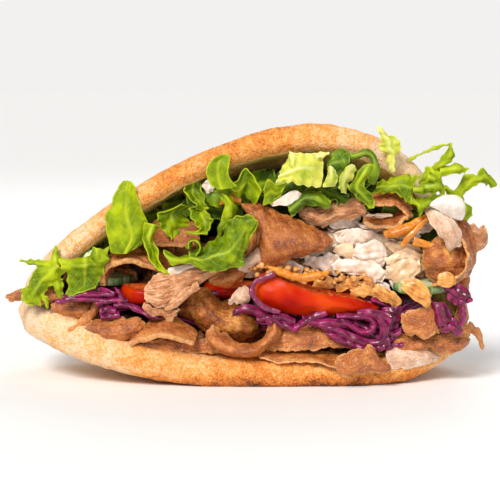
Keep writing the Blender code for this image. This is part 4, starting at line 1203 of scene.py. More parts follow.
def round_cut(name, radius, thick, kept=0.5, bulge=0.1, pockets=0, seed=1):
    """A disc cut off behind, whose wall bulges, with so many seed pockets in its upper face."""
    rng = random.Random(seed)
    sides, rings, pocket_depth = 72, 12, 0.8
    drop_selection()
    bpy.ops.mesh.primitive_cylinder_add(vertices=sides, radius=radius * MM, depth=thick * MM)
    obj = bpy.context.object
    obj.name = name
    bpy.ops.object.mode_set(mode="EDIT")
    select_where("FACE", lambda face: abs(face.normal.z) > 0.9)
    for _ in range(rings):
        bpy.ops.mesh.inset(thickness=radius * MM / (rings + 1))
    select_where("EDGE", lambda edge: abs(edge.verts[0].co.z - edge.verts[1].co.z) > 0.5 * thick * MM)
    bpy.ops.mesh.subdivide(number_cuts=6)
    bpy.ops.object.mode_set(mode="OBJECT")
    x, y, z = places_of(obj).T
    ring = np.hypot(x, y) / (radius * MM)
    around = np.arctan2(y, x)
    height = z / (thick * MM / 2)
    shrink = 1 - bulge * np.abs(height) ** 2.5 * ring**6
    wall = np.clip(ring * 1.08, 0, 1)
    hollow = np.zeros(len(x))
    if pockets:
        lobe = np.cos(pockets * around + rng.uniform(0, 3)) * 0.5 + 0.5
        hollow = np.clip(lobe * 2.2 - 0.5, 0, 1) * np.clip((ring - 0.2) * 6, 0, 1) * np.clip((0.84 - wall) * 8, 0, 1)
    z = z - np.where(height > 0.9, hollow * pocket_depth * MM, 0)
    move_to(obj, np.stack([x * shrink, y * shrink, z], axis=1))
    note(obj, skin=np.clip((ring - 0.93) / 0.05, 0, 1), ring=ring, pocket=hollow)
    bpy.ops.object.mode_set(mode="EDIT")
    bpy.ops.mesh.select_all(action="SELECT")
    cut = (2 * kept - 1) * radius * MM
    bpy.ops.mesh.bisect(plane_co=(0, cut, 0), plane_no=(0, 1, 0), use_fill=True, clear_outer=True)
    bpy.ops.object.mode_set(mode="OBJECT")
    return obj


# %% The tomato and cucumber finishes
tomato = Finish(
    "tomato", (0.7, 0.05, 0.01), roughness=0.4, Specular_IOR_Level=0.12, Subsurface_Weight=0.1,
    Subsurface_Radius=(0.005, 0.0012, 0.0006),
)
streaks = tomato.noise(14, detail=1)
tomato_skin = tomato.ramp(streaks, (0.30, (0.36, 0.004, 0.0)), (0.5, (0.47, 0.014, 0.0)), (0.7, (0.62, 0.050, 0.001)))
flesh_grain = tomato.noise(1.8, detail=4, rough=0.65)
tomato_flesh = tomato.ramp(
    flesh_grain, (0.3, (0.24, 0.01, 0.002)), (0.5, (0.46, 0.045, 0.006)), (0.7, (0.70, 0.20, 0.04)),
)
tomato_gel = tomato.ramp(flesh_grain, (0.35, (0.50, 0.05, 0.01)), (0.6, (0.75, 0.20, 0.04)))
tomato_cut = tomato.blend(tomato.attribute("pocket"), tomato_flesh, tomato_gel)
tomato_colour = tomato.blend(tomato.attribute("skin"), tomato_cut, tomato_skin)
tomato_relief = tomato.times(flesh_grain, tomato.maths("SUBTRACT", 1.0, tomato.attribute("skin")))
tomato_shine = tomato.span(flesh_grain, 0.3, 0.7, 0.26, 0.42)
tomato.paint(Base_Color=tomato_colour, Normal=tomato.bump(tomato_relief, 0.8), Roughness=tomato_shine)

cucumber = Finish(
    "cucumber", (0.4, 0.5, 0.2), roughness=0.25, Specular_IOR_Level=0.55, Subsurface_Weight=0.3,
    Subsurface_Radius=(0.003, 0.004, 0.0015),
)
stripes = cucumber.noise(3.0, detail=4, rough=0.6, where=cucumber.stretched(1, 1, 0.15))
cucumber_skin = cucumber.ramp(
    stripes, (0.35, (0.05, 0.13, 0.02)), (0.52, (0.15, 0.27, 0.07)), (0.68, (0.52, 0.60, 0.32)),
)
cucumber_flesh = cucumber.ramp(
    cucumber.sum(cucumber.attribute("ring"), cucumber.span(cucumber.noise(1.6), 0.3, 0.7, -0.12, 0.12)),
    (0.30, (0.62, 0.66, 0.34)), (0.60, (0.74, 0.76, 0.46)), (0.80, (0.66, 0.72, 0.34)), (0.95, (0.22, 0.38, 0.08)),
)
cucumber.paint(
    Base_Color=cucumber.blend(cucumber.attribute("skin"), cucumber_flesh, cucumber_skin),
    Normal=cucumber.bump(cucumber.noise(1.4), 0.35), Roughness=cucumber.span(stripes, 0.3, 0.7, 0.2, 0.4),
)

# %% Setting the round slices down


def round_piece(node, radius, thick, finish, tilt=0.0, roll=0.0, **shape):
    obj = round_cut(node + "_slice", radius, thick, **shape)
    press(obj, grain=12, depth=0.8)
    press(obj, grain=3.5, depth=0.25)
    set_down(obj, middle_of(node), tilt, roll)
    return serve(obj, finish.material, node.split("_")[0], node)


def hand_tomato(name, node, *nets, **shape):
    """Skin and cut face of a tomato laid through given nets: the first net is the skin, the others the cut flesh."""
    shape = {"torn": 0.1, "rips": 0, "wavy": 0.25, "rim": 0.9, "cell": 1.0, **shape}
    pieces = []
    for index, net in enumerate(nets):
        obj = laid(name, middle_of(node), net, seed=index, **shape)
        press(obj, grain=3.0 if index else 11, depth=0.5)
        note(obj, skin=np.full(len(obj.data.vertices), 0.0 if index else 1.0))
        pieces.append(obj)
    return serve(joined(name, pieces), tomato.material, "tomato", node)


hand_tomato("tomato_front_slice", "tomato_front", (
    (-25.5,2,-11, -26,-3,-12, -25,-7,-10), (-21,5,-15, -21.5,-3.5,-16.5, -20,-10.5,-12),
    (-15,4,-17, -15,-4.5,-18.5, -14,-12,-13), (-8,1.2,-18, -7.5,-6,-19.5, -6,-13,-13),
    (0,-1.8,-18, 1,-7.5,-19.5, 2,-13.5,-13), (8,-3.8,-17, 9,-8.5,-18, 10,-13.5,-12),
    (17,-5,-15, 18,-9.5,-16, 19,-13.5,-11), (25,-7.4,-12, 26,-10.5,-12.5, 26.5,-13,-9),
    (32,-10,-7, 32.5,-11,-8, 32.5,-12,-6),
), (
    (-25,2,-11, -24,3,-3, -22,5,4), (-21,4.8,-15, -20,5.5,-6, -18,6.5,4), (-15,3.8,-17, -14,4.8,-6, -13,5.5,5),
    (-8,1,-18, -7,2.3,-6, -6,3.4,6), (0,-2,-18, 1,-0.5,-6, 2,1.2,6), (8,-4,-17, 8.5,-2.5,-6, 9,-1,6),
    (17,-5.2,-15, 17.5,-4,-5, 18,-3,5), (25,-7.6,-12, 25,-6.6,-4, 25,-6,4), (32,-10.2,-7, 31,-9.5,-2, 30,-9,3),
), thick=1.3)

round_piece("tomato_middle", 15, 5, tomato, tilt=8, pockets=4, seed=2)
round_piece("tomato_left", 12, 7, tomato, tilt=10, pockets=3, seed=3)
round_piece("cucumber_left", 14, 4, cucumber, tilt=4, kept=0.6, bulge=0.04)
round_piece("cucumber_right", 13, 4, cucumber, tilt=8, kept=0.6, bulge=0.04)
round_piece("cucumber_upper", 7, 3, cucumber, tilt=60, roll=-20, kept=1.0, bulge=0.04)
print("round slices done")

# %% [markdown]
# ## Shreds
# Cabbage, carrot and onion are cut into ribbons. Raw red cabbage is purple outside with a paler cut edge,
# pickled white cabbage is creamy and lets light through, carrot is grated. They are sheets too, thicker
# for their width, and wet, so they shine.

# %% The shreds' finishes


def shred_finish(
    name, deep, middle, light, rim, rim_share=0.5, glow=0.2, radius=(0.003, 0.002, 0.0015), rough=0.28, grooves=0.35,
    streaks=0.4,
):
    """radius is how far light travels inside; grooves and streaks say how much the fibres show."""
    finish = Finish(
        name, middle, roughness=rough, Specular_IOR_Level=0.55, Subsurface_Weight=glow,
        Subsurface_Radius=radius,
    )
    patches = finish.noise(5, detail=4, rough=0.6)
    fibres = finish.fibres(9, 2)
    tone = finish.sum(finish.times(patches, 1 - streaks), finish.times(fibres, streaks))
    colour = finish.ramp(tone, (0.34, deep), (0.50, middle), (0.64, light))
    colour = finish.blend(finish.times(finish.attribute("edge"), rim_share), colour, rim)
    shine = finish.span(patches, 0.3, 0.7, rough - 0.08, rough + 0.14)
    return finish.paint(Base_Color=colour, Normal=finish.bump(fibres, grooves), Roughness=shine)


DEEP_GLOW = (0.006, 0.0045, 0.003)
purple = shred_finish(
    "red_cabbage", (0.025, 0.0002, 0.006), (0.13, 0.0005, 0.030), (0.34, 0.004, 0.105), (0.60, 0.07, 0.33), 0.3,
    rough=0.27, grooves=0.2,
)
cream = shred_finish(
    "white_cabbage", (0.60, 0.36, 0.22), (0.77, 0.59, 0.47), (0.83, 0.71, 0.61), (0.86, 0.79, 0.71), 0.7, 0.4,
    DEEP_GLOW, rough=0.22, grooves=0.0, streaks=0.05,
)
orange = shred_finish("carrot", (0.44, 0.09, 0.002), (0.60, 0.17, 0.004), (0.76, 0.29, 0.012), (0.82, 0.38, 0.03))
onion_white = shred_finish(
    "onion", (0.55, 0.46, 0.38), (0.68, 0.60, 0.52), (0.78, 0.72, 0.66), (0.80, 0.74, 0.68), glow=0.3, grooves=0.0,
    streaks=0.05,
)
onion_purple = shred_finish(
    "red_onion", (0.06, 0.001, 0.015), (0.16, 0.003, 0.045), (0.32, 0.02, 0.11), (0.50, 0.12, 0.26), 0.25,
)
tan = shred_finish(
    "clear_cabbage", (0.50, 0.26, 0.11), (0.72, 0.46, 0.26), (0.86, 0.64, 0.42), (0.92, 0.72, 0.50), 0.5, 0.35,
    DEEP_GLOW, rough=0.25, grooves=0.05, streaks=0.15,
)
golden = shred_finish(
    "fried_onion", (0.36, 0.10, 0.01), (0.66, 0.26, 0.04), (0.86, 0.46, 0.13), (0.90, 0.54, 0.18), 0.4,
)

# %% One shred


def shave(name, length, width, seed, **shape):
    shape = {"thick": 1.4, "torn": 0.25, "torn_step": 3.0, "cell": 0.9, **shape}
    obj = sheet(name, length, width, seed=seed, **shape)
    map_fibres(obj, 0)
    press(obj, grain=3.5, depth=0.5)
    return obj


def flatter(net, share):
    """The same net with the bulge of each row cut down to a share of itself."""
    net = np.array(net, dtype=float).reshape(len(net), -1, 3)
    edges = (net[:, :1, 2] + net[:, -1:, 2]) / 2
    net[:, :, 2] = edges + (net[:, :, 2] - edges) * share
    return net


def hand_shred(name, node, *nets, finish, slot, replaces=True, fibre_turn=0.0, lumps=0.25, bulge=1.0, **shape):
    """A shred laid through one or more nets around the middle of a solid."""
    shape = {"thick": 1.3, "torn": 0.3, "torn_step": 3.0, "cell": 0.65, "wavy": 0.35, "wavy_size": 5.0, "rim": 0.8,
             "rips": 0, "seed": 1, **shape}

    def work(obj):
        map_fibres(obj, fibre_turn)
        press(obj, grain=3.5, depth=lumps)
        press(obj, grain=1.2, depth=lumps / 2)

    obj = all_laid(name, node, [flatter(net, bulge) for net in nets], shape, work)
    return serve(obj, finish, slot, *([node] if replaces else []))


def ribbon(back, *rows):
    """The net of a narrow ribbon: each row is right, up of its upper edge, then of its lower one."""
    spread, edge, middle = 0.15, back + 0.8, back - 0.7
    net = []
    for right, up, low_right, low_up in rows:
        out_right, out_up = spread * (right - low_right), spread * (up - low_up)
        net.append((
            right + out_right, up + out_up, edge, (right + low_right) / 2, (up + low_up) / 2, middle,
            low_right - out_right, low_up - out_up, edge,
        ))
    return net


hand_shred("carrot_upper_shred", "carrot_upper", (
    (-10.5,0.5,1, -10,-1,0, -9.5,-2.5,1), (-5,2,0, -4.5,0,-1.5, -3.5,-2,0), (1,4.5,0, 1,2,-1.5, 1,0,0),
    (6.5,7.5,0, 6,5,-1, 5.5,3,0), (12.5,10.5,0, 13,9.5,0, 14,8.5,0),
), (
    (-3,-5.5,-1, -2,-6,-1.5, -1,-6,-1), (-1,-2.5,-2, 0.5,-2.5,-2.5, 1.5,-3,-2), (3,2,-2, 4,1,-2.5, 4.5,0.5,-2),
    (8.5,7,-1, 9.5,6.5,-1.5, 10,5.5,-1),
), finish=orange, slot="carrot", thick=1.5, torn=0.5)
hand_shred("carrot_curve_shred", "carrot_curve", (
    (-9,4.5,0, -9,3,-0.5, -9.5,1.5,0), (-4,3,0, -4,1.5,-0.5, -4.5,0,0), (2,1.5,0, 2,0,-0.5, 1.5,-1,0),
    (7,2,0, 7,0.5,-0.5, 6.5,-0.5,0), (9.5,3.5,0, 9.5,3,0, 9,2.5,0),
), finish=orange, slot="carrot", thick=1.5, torn=0.5, seed=2)
hand_shred("carrot_low_shred", "carrot_low", (
    (-14,3,0, -14,2.5,0, -13.5,2,0), (-9,2,0, -9,0.5,-1, -9,-1,0), (-3,0,0, -3,-1.5,-1, -3.5,-3,0),
    (3,-1,0, 3,-2.5,-1, 3,-4,0), (9,0,0, 9,-1.5,-1, 9,-3,0), (13.5,0.5,0, 13.5,-0.5,0, 13,-1.5,0),
), finish=orange, slot="carrot", thick=1.5, torn=0.5, seed=3)
hand_shred("onion_ring_shred", "onion_ring", (
    (6,9.5,0, 6.5,8.5,-0.7, 7,7.7,0), (1,7.5,-0.5, 1.7,6.6,-1.2, 2.3,5.7,0), (-3,5,-1, -2.2,4.4,-1.5, -1.4,3.8,-0.5),
    (-5,1,-1, -4,1,-1.6, -2.8,1,-0.5), (-3.8,-3,-1, -2.9,-2.6,-1.6, -1.8,-2.2,-0.5),
    (0,-6.9,-1, 0.5,-6,-1.5, 1.2,-5,-0.5), (4.5,-9.2,-0.5, 4.8,-8.2,-1, 5.2,-7.2,0),
    (9,-10,0, 9.1,-9.2,-0.4, 9.2,-8.5,0),
), finish=onion_purple, slot="red_onion", thick=1.4, torn=0.1, seed=4)
hand_shred("onion_slice_shred", "onion_slice", (
    (-11.5,1,0, -11.5,0.5,0, -11,0,0), (-7,4,0, -7,1,-1.5, -7,-2,0), (-2,5,0, -2,0,-2.5, -2,-5,0),
    (2,4.5,0, 3,-1,-2, 3,-6.5,0), (4.5,2,0, 5,-1,-0.5, 4.5,-4.5,0),
), finish=onion_white, slot="onion", thick=1.6, torn=0.2, wavy=0.15, seed=5, lumps=0.05, bulge=0.6, rim=0.5)
hand_shred(
    "cabbage_middle_shred", "cabbage_middle",
    ((-2,6,1, -3,3,0, -5,-1.5,0), (1.5,7,0, 1,2.5,-2, -1,-3,-1), (5,7.5,0, 4.5,2,-2, 2.5,-3.5,-1),
     (7.5,7,1, 7,2,0, 5,-3,0)),
    ((-17,-1,0, -17,-2,-1, -17,-3,0), (-11,-3,0, -11,-5,-2, -11,-7,0), (-5,-4,0, -5,-7,-2.5, -5,-10.5,0),
     (0,-4,0, 0,-8,-2.5, -1,-12,0), (4,-4,0, 4,-7,-1.5, 3,-10,0), (6,-4.5,1, 6,-6,0, 5,-7,0)),
    ribbon(-3, (-15,1, -15,-0.5), (-9,-2, -9.5,-4), (-4,-6.5, -5,-8.5), (2,-10, 1,-12), (8,-9, 7.5,-11)),
    ribbon(-3, (-8,3, -9,1.5), (-4,-1, -5,-2.5), (2,-4, 1.5,-6), (7,-3, 7,-5)),
    finish=purple, slot="red_cabbage", seed=71, fibre_turn=70, wavy=0.7, torn=0.5,
)
hand_shred(
    "cabbage_right_shred", "cabbage_right",
    ((-11,8,0, -8,8.5,-2, -4,8,0), (-10,5,0, -6.5,5,-3, -1.5,4,0), (-9,1,0, -5.5,1,-3, -0.5,0,0),
     (-7.5,-3,0, -4.5,-3,-2, -1.5,-3.5,0)),
    ((-6,-3,0, -5,-4.5,-1, -5,-6,0), (-2.5,1,0, -2,-3,-2, -2,-6,0), (1,0,0, 1.5,-4,-2.5, 1,-7,0),
     (4,-5,0, 3.5,-6.5,-1, 2.5,-8,0)),
    ((-3,14,0, -3,11,-1, -2,8,0), (2,17,0, 2,12,-2, 2,6.5,0), (6,14,0, 6,11,-2, 5,7.5,0), (8,10,1, 8,9,0, 7,8.5,0)),
    ribbon(-2, (-4,17, -5,15), (0,14, -1,12), (4,9, 2.5,8), (5,3, 3,3), (4,-3, 2.5,-3)),
    finish=purple, slot="red_cabbage", seed=72, wavy=0.6, torn=0.5,
)
print("single shreds done")

# %% [markdown]
# ## Heaps
# Behind the pieces that can be told apart lie layers of small things: bits of meat, cabbage shreds,
# leaves. Each layer is a core that follows its solid, coloured darker as painted shade for the gaps
# between the bits, with real bits laid along its front. A few bits of each kind are modelled and then
# copied, turned and joined, because no two need differ much.

# %% Laying bits along a layer
COLUMN_WIDTH, FRONT_DEPTH = 1 * MM, 4 * MM


def front_line(node):
    """Columns of a layer from left to right: x, y of its front edge, and its lowest and highest points there."""
    turn = np.array(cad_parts[node].matrix_world)
    points = places_of(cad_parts[node]) @ turn[:3, :3].T + turn[:3, 3]
    columns = []
    for x in np.unique(points[:, 0].round(4)):
        near = points[np.abs(points[:, 0] - x) < COLUMN_WIDTH]
        front = near[near[:, 1] < near[:, 1].min() + FRONT_DEPTH]
        columns.append((x, front[:, 1].min(), front[:, 2].min(), front[:, 2].max()))
    return np.array(columns)


def along_front(line, x, forward, up):
    """A point at x along a layer's front, so many millimetres before it and that share of the way up."""
    y, low, high = (np.interp(x, line[:, 0], line[:, i]) for i in (1, 2, 3))
    return Vector((x, y - forward * MM, low + (high - low) * up))


def copies_of(models, name, places):
    """Copies the models in turn to places, each (middle, angles, size), and joins them into one mesh."""
    made = []
    for index, (middle, angles, size) in enumerate(places):
        copy = linked_copy(models[index % len(models)])
        copy.location = middle
        copy.rotation_euler = [math.radians(angle) for angle in angles]
        copy.scale = (size, size, size)
        made.append(copy)
    obj = joined(name, made)
    bpy.ops.object.transform_apply(location=True, rotation=True, scale=True)
    return obj


def centred(obj):
    set_down(obj, (0, 0, 0))
    return obj


def carried_over(node, name):
    """A copy of a solid's mesh with its loose triangles merged."""
    obj = linked_copy(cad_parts[node])
    obj.name = name
    obj.hide_viewport = obj.hide_render = False
    obj.hide_set(False)
    pick(obj)
    bpy.ops.object.transform_apply(location=True, rotation=True, scale=True)
    bpy.ops.object.mode_set(mode="EDIT")
    bpy.ops.mesh.select_all(action="SELECT")
    bpy.ops.mesh.remove_doubles(threshold=1e-5)
    bpy.ops.object.mode_set(mode="OBJECT")
    return obj


CORE_REACH = 30 * MM


def core(node, name, finish, slot, set_back, lump, shrink=0.85):
    """An inner body, given a darker finish as painted shade for the gaps: the layer's solid, drawn back from its
    front and up from its neighbours.
    """
    obj = carried_over(node, name)
    line = front_line(node)
    for vert in obj.data.vertices:
        y, low, high = (np.interp(vert.co.x, line[:, 0], line[:, i]) for i in (1, 2, 3))
        nearness = max(0.0, 1 - (vert.co.y - y) / CORE_REACH)
        vert.co.y += set_back * MM * nearness
        vert.co.z = (low + high) / 2 + (vert.co.z - (low + high) / 2) * shrink
    finish_modifier(obj, "finer", "SUBSURF", levels=2, render_levels=2)
    press(obj, grain=6, depth=lump)
    press(obj, grain=2, depth=lump / 3)
    return serve(obj, finish, slot)


def core_finish(name, deep, light, rough=0.5):
    finish = Finish(name, deep, roughness=rough)
    lumps = finish.noise(4, detail=5, rough=0.65)
    colour = finish.ramp(lumps, (0.35, deep), (0.70, light))
    shine = finish.span(lumps, 0.3, 0.7, 0.3, 0.6)
    return finish.paint(Base_Color=colour, Normal=finish.bump(finish.noise(1.8), 0.8), Roughness=shine)


# The core colours are painted shade: far darker than the same food in front, they stand for the shadowed gaps inside
# the filling.
meat_core = core_finish("meat_core", (0.05, 0.018, 0.008), (0.24, 0.09, 0.035))
purple_core = core_finish("red_cabbage_core", (0.03, 0.003, 0.014), (0.16, 0.012, 0.07), 0.35)
green_core = core_finish("lettuce_core", (0.02, 0.05, 0.004), (0.10, 0.20, 0.01))
cream_core = core_finish("white_cabbage_core", (0.25, 0.12, 0.05), (0.72, 0.52, 0.34), 0.35)

# %% The meat layers
layer_rng = random.Random(20)
MEAT_BITS = ((24, 9, (-40,)), (18, 8, (50, -30)), (28, 7, (60,)), (15, 10, (-20,)))
meat_bits = [centred(carve(f"bit_{i}", length, width, seed=80 + i, bends=bends, cell=1.3, smooth=0))
             for i, (length, width, bends) in enumerate(MEAT_BITS)]


def scatter_along(node, count, forward, up, turns, sizes=(0.8, 1.15), left=0.03, right=0.97):
    """Places along a layer's front: forward, up and turns are ranges."""
    line = front_line(node)
    places = []
    for index in range(count):
        share = left + (right - left) * (index + layer_rng.uniform(0, 1)) / count
        x = line[0, 0] + (line[-1, 0] - line[0, 0]) * share
        middle = along_front(line, x, layer_rng.uniform(*forward), layer_rng.uniform(*up))
        angles = [layer_rng.uniform(*turn) for turn in turns]
        places.append((middle, angles, layer_rng.uniform(*sizes)))
    return places


core("layer_meat_low", "meat_bed", meat_core, "meat", 5, 1.5)
core("layer_meat_high", "meat_filling", meat_core, "meat", 7, 2.0)
low_places = scatter_along("layer_meat_low", 16, (-3, 4), (0.2, 0.8), ((30, 80), (-20, 20), (-20, 20)))
serve(copies_of(meat_bits, "meat_bits_low", low_places), meat, "meat", "layer_meat_low")
high_places = scatter_along("layer_meat_high", 34, (-6, 6), (0.05, 0.95), ((20, 100), (-35, 35), (-25, 25)))
serve(copies_of(meat_bits, "meat_bits_high", high_places), dark_meat, "meat", "layer_meat_high")
print("meat layers done")

# %% The red cabbage layer
PURPLE_BITS = (
    (34, 3.4, (50, -40), 70, 0), (26, 4.6, (-70,), 40, 40), (40, 2.8, (40, 60), 120, 0),
    (22, 3.2, (80, 40), 30, 0), (30, 5.5, (-30, 50), 60, 50),
)
purple_bits = [
    centred(shave(f"ribbon_{i}", *size, seed=90 + i, bends=bends, twist=twist, thick=1.5, curl=curl, cell=1.25))
    for i, (*size, bends, twist, curl) in enumerate(PURPLE_BITS)
]
core("layer_red_cabbage", "red_cabbage_bed", purple_core, "red_cabbage", 7, 1.5)
purple_places = scatter_along(
    "layer_red_cabbage", 60, (-4, 7), (-0.1, 1.0), ((0, 180), (-35, 35), (-20, 20)), (0.75, 1.05),
)
ribbons = copies_of(purple_bits, "red_cabbage_ribbons", purple_places)
serve(ribbons, purple, "red_cabbage", "layer_red_cabbage")
print("red cabbage done")

# %% The lettuce layer
leaf_bits = [
    centred(sheet(
        f"leaf_bit_{i}", length, width, seed=100 + i, cell=1.35, thick=0.8, rim=0.8, torn=0.25, torn_step=2.0,
        corner=0.1, frill=75, frill_step=11, lobes=2, lobe_depth=0.25, ruffle=1.8, waves=1.7, wavy=0.7, wavy_size=7.0,
    ))
    for i, (length, width) in enumerate(((26, 18), (20, 15), (30, 14)))
]
core("layer_lettuce", "lettuce_bed", green_core, "lettuce", 8, 1.5, shrink=0.7)
leaf_places = scatter_along(
    "layer_lettuce", 18, (-4, 8), (0.1, 0.9), ((40, 110), (-40, 40), (-20, 20)), (0.7, 1.0), left=0.12,
)
serve(copies_of(leaf_bits, "lettuce_bits", leaf_places), deep_green, "lettuce", "layer_lettuce")
print("lettuce layer done")

# %% [markdown]
# ## The white cabbage
# The pickled white cabbage hangs out over the tomato in broad, limp shreds, with a few thin ones among
# them. The broad ones that show are laid one by one; thin copies and a heart fill the gaps.

# %% Laying the white cabbage
CREAM_BITS = ((27, 7, (40,), 40, 1.0), (24, 3, (60, -40), 60, 0), (20, 9, (-30,), 0, 1.2))
cream_bits = [
    centred(shave(
        f"cream_{i}", *size, seed=122 + i, bends=bends, twist=twist, thick=1.1, cup=cup, torn=0.9, cell=1.2,
        torn_step=3.5, ruffle=0.8, widths=(0.35, 0.8, 1.0, 0.9, 0.8, 0.4),
    ))
    for i, (*size, bends, twist, cup) in enumerate(CREAM_BITS)
]
hand_shred("white_cabbage_broad", "white_cabbage", (
    (-15.5,0.5,-3, -15.5,0,-3.5, -15,-0.5,-3), (-10,6.5,-4, -9.5,3.5,-5, -9,0,-4),
    (-4.5,9.5,-4, -4,6,-5.5, -4,1.5,-4), (2,8.5,-4, 2,5.5,-5.5, 2,2.5,-4), (8.5,7.5,-3, 8.5,4.5,-4.5, 8.5,1.5,-3),
    (15,3.5,-2, 15,2.5,-2, 14.5,1.5,-2),
), (
    (-3.5,1,-6, -4.5,-2,-6, -4.5,-5,-6), (0,3.5,-7, 0,-3,-7.8, -1,-8.5,-7), (6,4.5,-7, 6,-3,-8, 5,-9.5,-7),
    (10,2.5,-6, 10.5,-3,-7, 9.5,-8,-6), (12,-1,-5, 12.2,-3,-5, 12,-6,-5),
), (
    (-13.5,-6,-9, -13.5,-8,-10, -13,-9.5,-9), (-6,-4,-10, -6,-8,-12.5, -6,-11.5,-10),
    (1.5,-4,-10, 1.5,-8.5,-12.5, 1,-13,-10), (7.5,-7,-10, 7,-11,-12.5, 6,-15,-10),
    (12,-10,-9, 11,-12.5,-10, 9.5,-15,-9),
), (
    (-26,-4,-6, -26,-6,-7, -25.5,-7.5,-6), (-19.5,-2,-7, -19.5,-6,-9, -19,-10,-7),
    (-12.5,-3,-7, -12.5,-7,-9.5, -13,-11.5,-7), (-7,-6.5,-6, -7.5,-9.5,-7, -9,-12,-6),
), (
    (-36,-7,-9, -36,-9,-10, -35,-11,-9), (-31.5,-6,-9.5, -31.5,-9,-11, -31,-13,-9.5),
    (-27,-8,-9, -27,-10,-10, -28,-12.5,-9),
), (
    (3,-12,-8, 5,-13.5,-9, 6,-15.5,-8), (8,-13.5,-8, 9,-16.5,-9.5, 9.5,-19,-8), (14,-16.5,-7, 14,-18.5,-8, 14,-20,-7),
), (
    (11,-8,-7, 13.5,-8.5,-8, 16.5,-9.5,-7), (12,-13,-7, 14.5,-13.5,-8.5, 17,-14,-7),
    (14,-18,-7, 16,-18,-7.5, 18,-17,-7),
), (
    (-16,11,0, -14,9.5,-1, -12,10,0), (-14.5,6,-1, -12.5,6,-2.5, -10.5,6.5,-1), (-13,2,-1, -11,2,-2, -9,3,-1),
), (
    (-17,2,-2, -16,0,-3, -15,-2,-2), (-11,2,-2, -11,-2,-3.5, -11,-6,-2), (-5,0,-1, -5,-3,-2, -5,-7,-1),
), (
    (0,11,-1, 2,9,-2, 4,7,-1), (7,11,-1, 7.5,8.5,-2.5, 8,6,-1), (14,8,0, 14,6,-1, 14,4,0),
), (
    (-9,12,1, -7,11,0, -5,9,1), (-3,12,1, -2,10,-0.5, -1,8,1), (3,12,2, 3,11,1, 3,9,2),
), finish=cream, slot="white_cabbage", seed=121, torn=1.3, torn_step=2.2, wavy=0.35, wavy_size=4.0, thick=0.7,
    lumps=0.12, rim=0.5, cell=0.6, bulge=0.2)
hand_shred(
    "white_cabbage_clear", "white_cabbage",
    ribbon(-8, (10.5,-5, 11,-6.5), (14.6,-2, 14.3,-7.5), (21.8,0.5, 20,-5), (29,-2, 27.7,-5)),
    ribbon(-9.5, (11.6,-8, 12,-9.5), (16.5,-6, 15.5,-13), (22,-5.2, 20.5,-13), (28,-6.5, 27.5,-9.5)),
    ribbon(-9, (29,3, 31,3.2), (30,-1, 33.5,-0.5), (32,-5.5, 34.5,-4.5)),
    ribbon(-6, (11,4, 11.5,2), (17,3.5, 17,-1.5), (23.5,2.5, 23,-1.5), (27,1.5, 27,0)),
    ribbon(-9, (8,-11, 10,-13), (14,-9, 15,-13), (20,-11, 20,-15), (25,-14, 25,-17)),
    ribbon(-7, (-13,1, -13,-1), (-8,1.5, -8,-2.5), (-3,2, -3.5,-3)),
    finish=tan, slot="white_cabbage", replaces=False, seed=141, torn=1.1, torn_step=2.2, wavy=0.35, wavy_size=4.0,
    thick=0.7, lumps=0.12, rim=0.5, bulge=0.2,
)

THIN_SHREDS, HEART_SIZE, HEART_SET_BACK = 26, 0.78, 4 * MM
thin_places = []
for _ in range(THIN_SHREDS):
    shares = [layer_rng.uniform(*reach) for reach in ((0.05, 0.95), (0.2, 0.7), (0.05, 1.0))]
    middle = spot("white_cabbage", *shares)
    angles = [layer_rng.uniform(*turn) for turn in ((30, 110), (-40, 40), (-20, 20))]
    thin_places.append((middle, angles, 0.9))
serve(copies_of(cream_bits, "white_cabbage_thin", thin_places), cream, "white_cabbage", "white_cabbage")

heap_core = carried_over("white_cabbage", "white_cabbage_heart")
heap_middle = middle_of("white_cabbage") + Vector((0, HEART_SET_BACK, 0))
for vert in heap_core.data.vertices:
    vert.co = heap_middle + (vert.co - heap_middle) * HEART_SIZE
finish_modifier(heap_core, "finer", "SUBSURF", levels=2, render_levels=2)
press(heap_core, grain=5, depth=2.5)
# The heart takes the core finish, darker than the shreds in front: painted shade in the gaps between them.
serve(heap_core, cream_core, "white_cabbage")
print("white cabbage done")

# %% [markdown]
# ## Odd pieces between the large ones
# Where the filling bulges out there are more bits than the solids tell apart: a browned chunk, a pale
# fold of meat, fried onion, stray shreds. Each is laid from the middle of the solid beside it.

# %% Odd pieces of meat
hand_slice("meat_big_curl", (
    (-18,8,0, -19,2,-2, -17,-6,0), (-13,12,-2, -13,2,-6, -12,-9,-2), (-7,14,-2, -7,2,-7, -6,-10,-2),
    (-1,12,-1, 0,1,-5, -1,-8,-1), (3,8,2, 4,0,0, 2,-6,2),
), name="slice_roast", seed=142, finish=roast, thick=1.8, torn=0.8, wavy=0.5, wavy_size=8.0, grit=0.8)
hand_slice("meat_big_curl", (
    (-18,25,-2, -15,25,-4, -11,24,-2), (-16,19,-8, -10.5,20,-12, -6,21,-8), (-13,14.5,-11, -8,15.5,-15, -3,17.5,-10),
    (-10,10.5,-11, -6,12,-14, -2,13,-10), (-8,7,-9, -5,8,-11, -2,9,-9),
), name="slice_pale_fold", seed=143, finish=pale_meat, thick=1.6, torn=0.5, grit=0.35)
hand_slice("meat_big_curl", (
    (-5,22,6, -1,21,4, 3,18,6), (-2,17,7, 2,15,5, 6,12,7), (0,10,8, 4,8,6, 7,5,8), (0,2,8, 4,1,6, 6,-1,8),
    (-2,-5,8, 2,-6,6, 4,-7,8),
), name="slice_curl_back", seed=144, finish=dark_meat, thick=2.2)
hand_slice("meat_right_ledge", (
    (-12,-3,-6, -11,-6,-8, -10,-9,-6), (-5,-3,-7, -4,-7,-9, -4,-11,-7), (3,-3,-6, 3,-7,-8, 2,-10,-6),
    (8,-3,-3, 8,-5,-4, 7,-7,-3),
), name="slice_end_roast", seed=145, finish=roast, thick=2.2, torn=0.9)
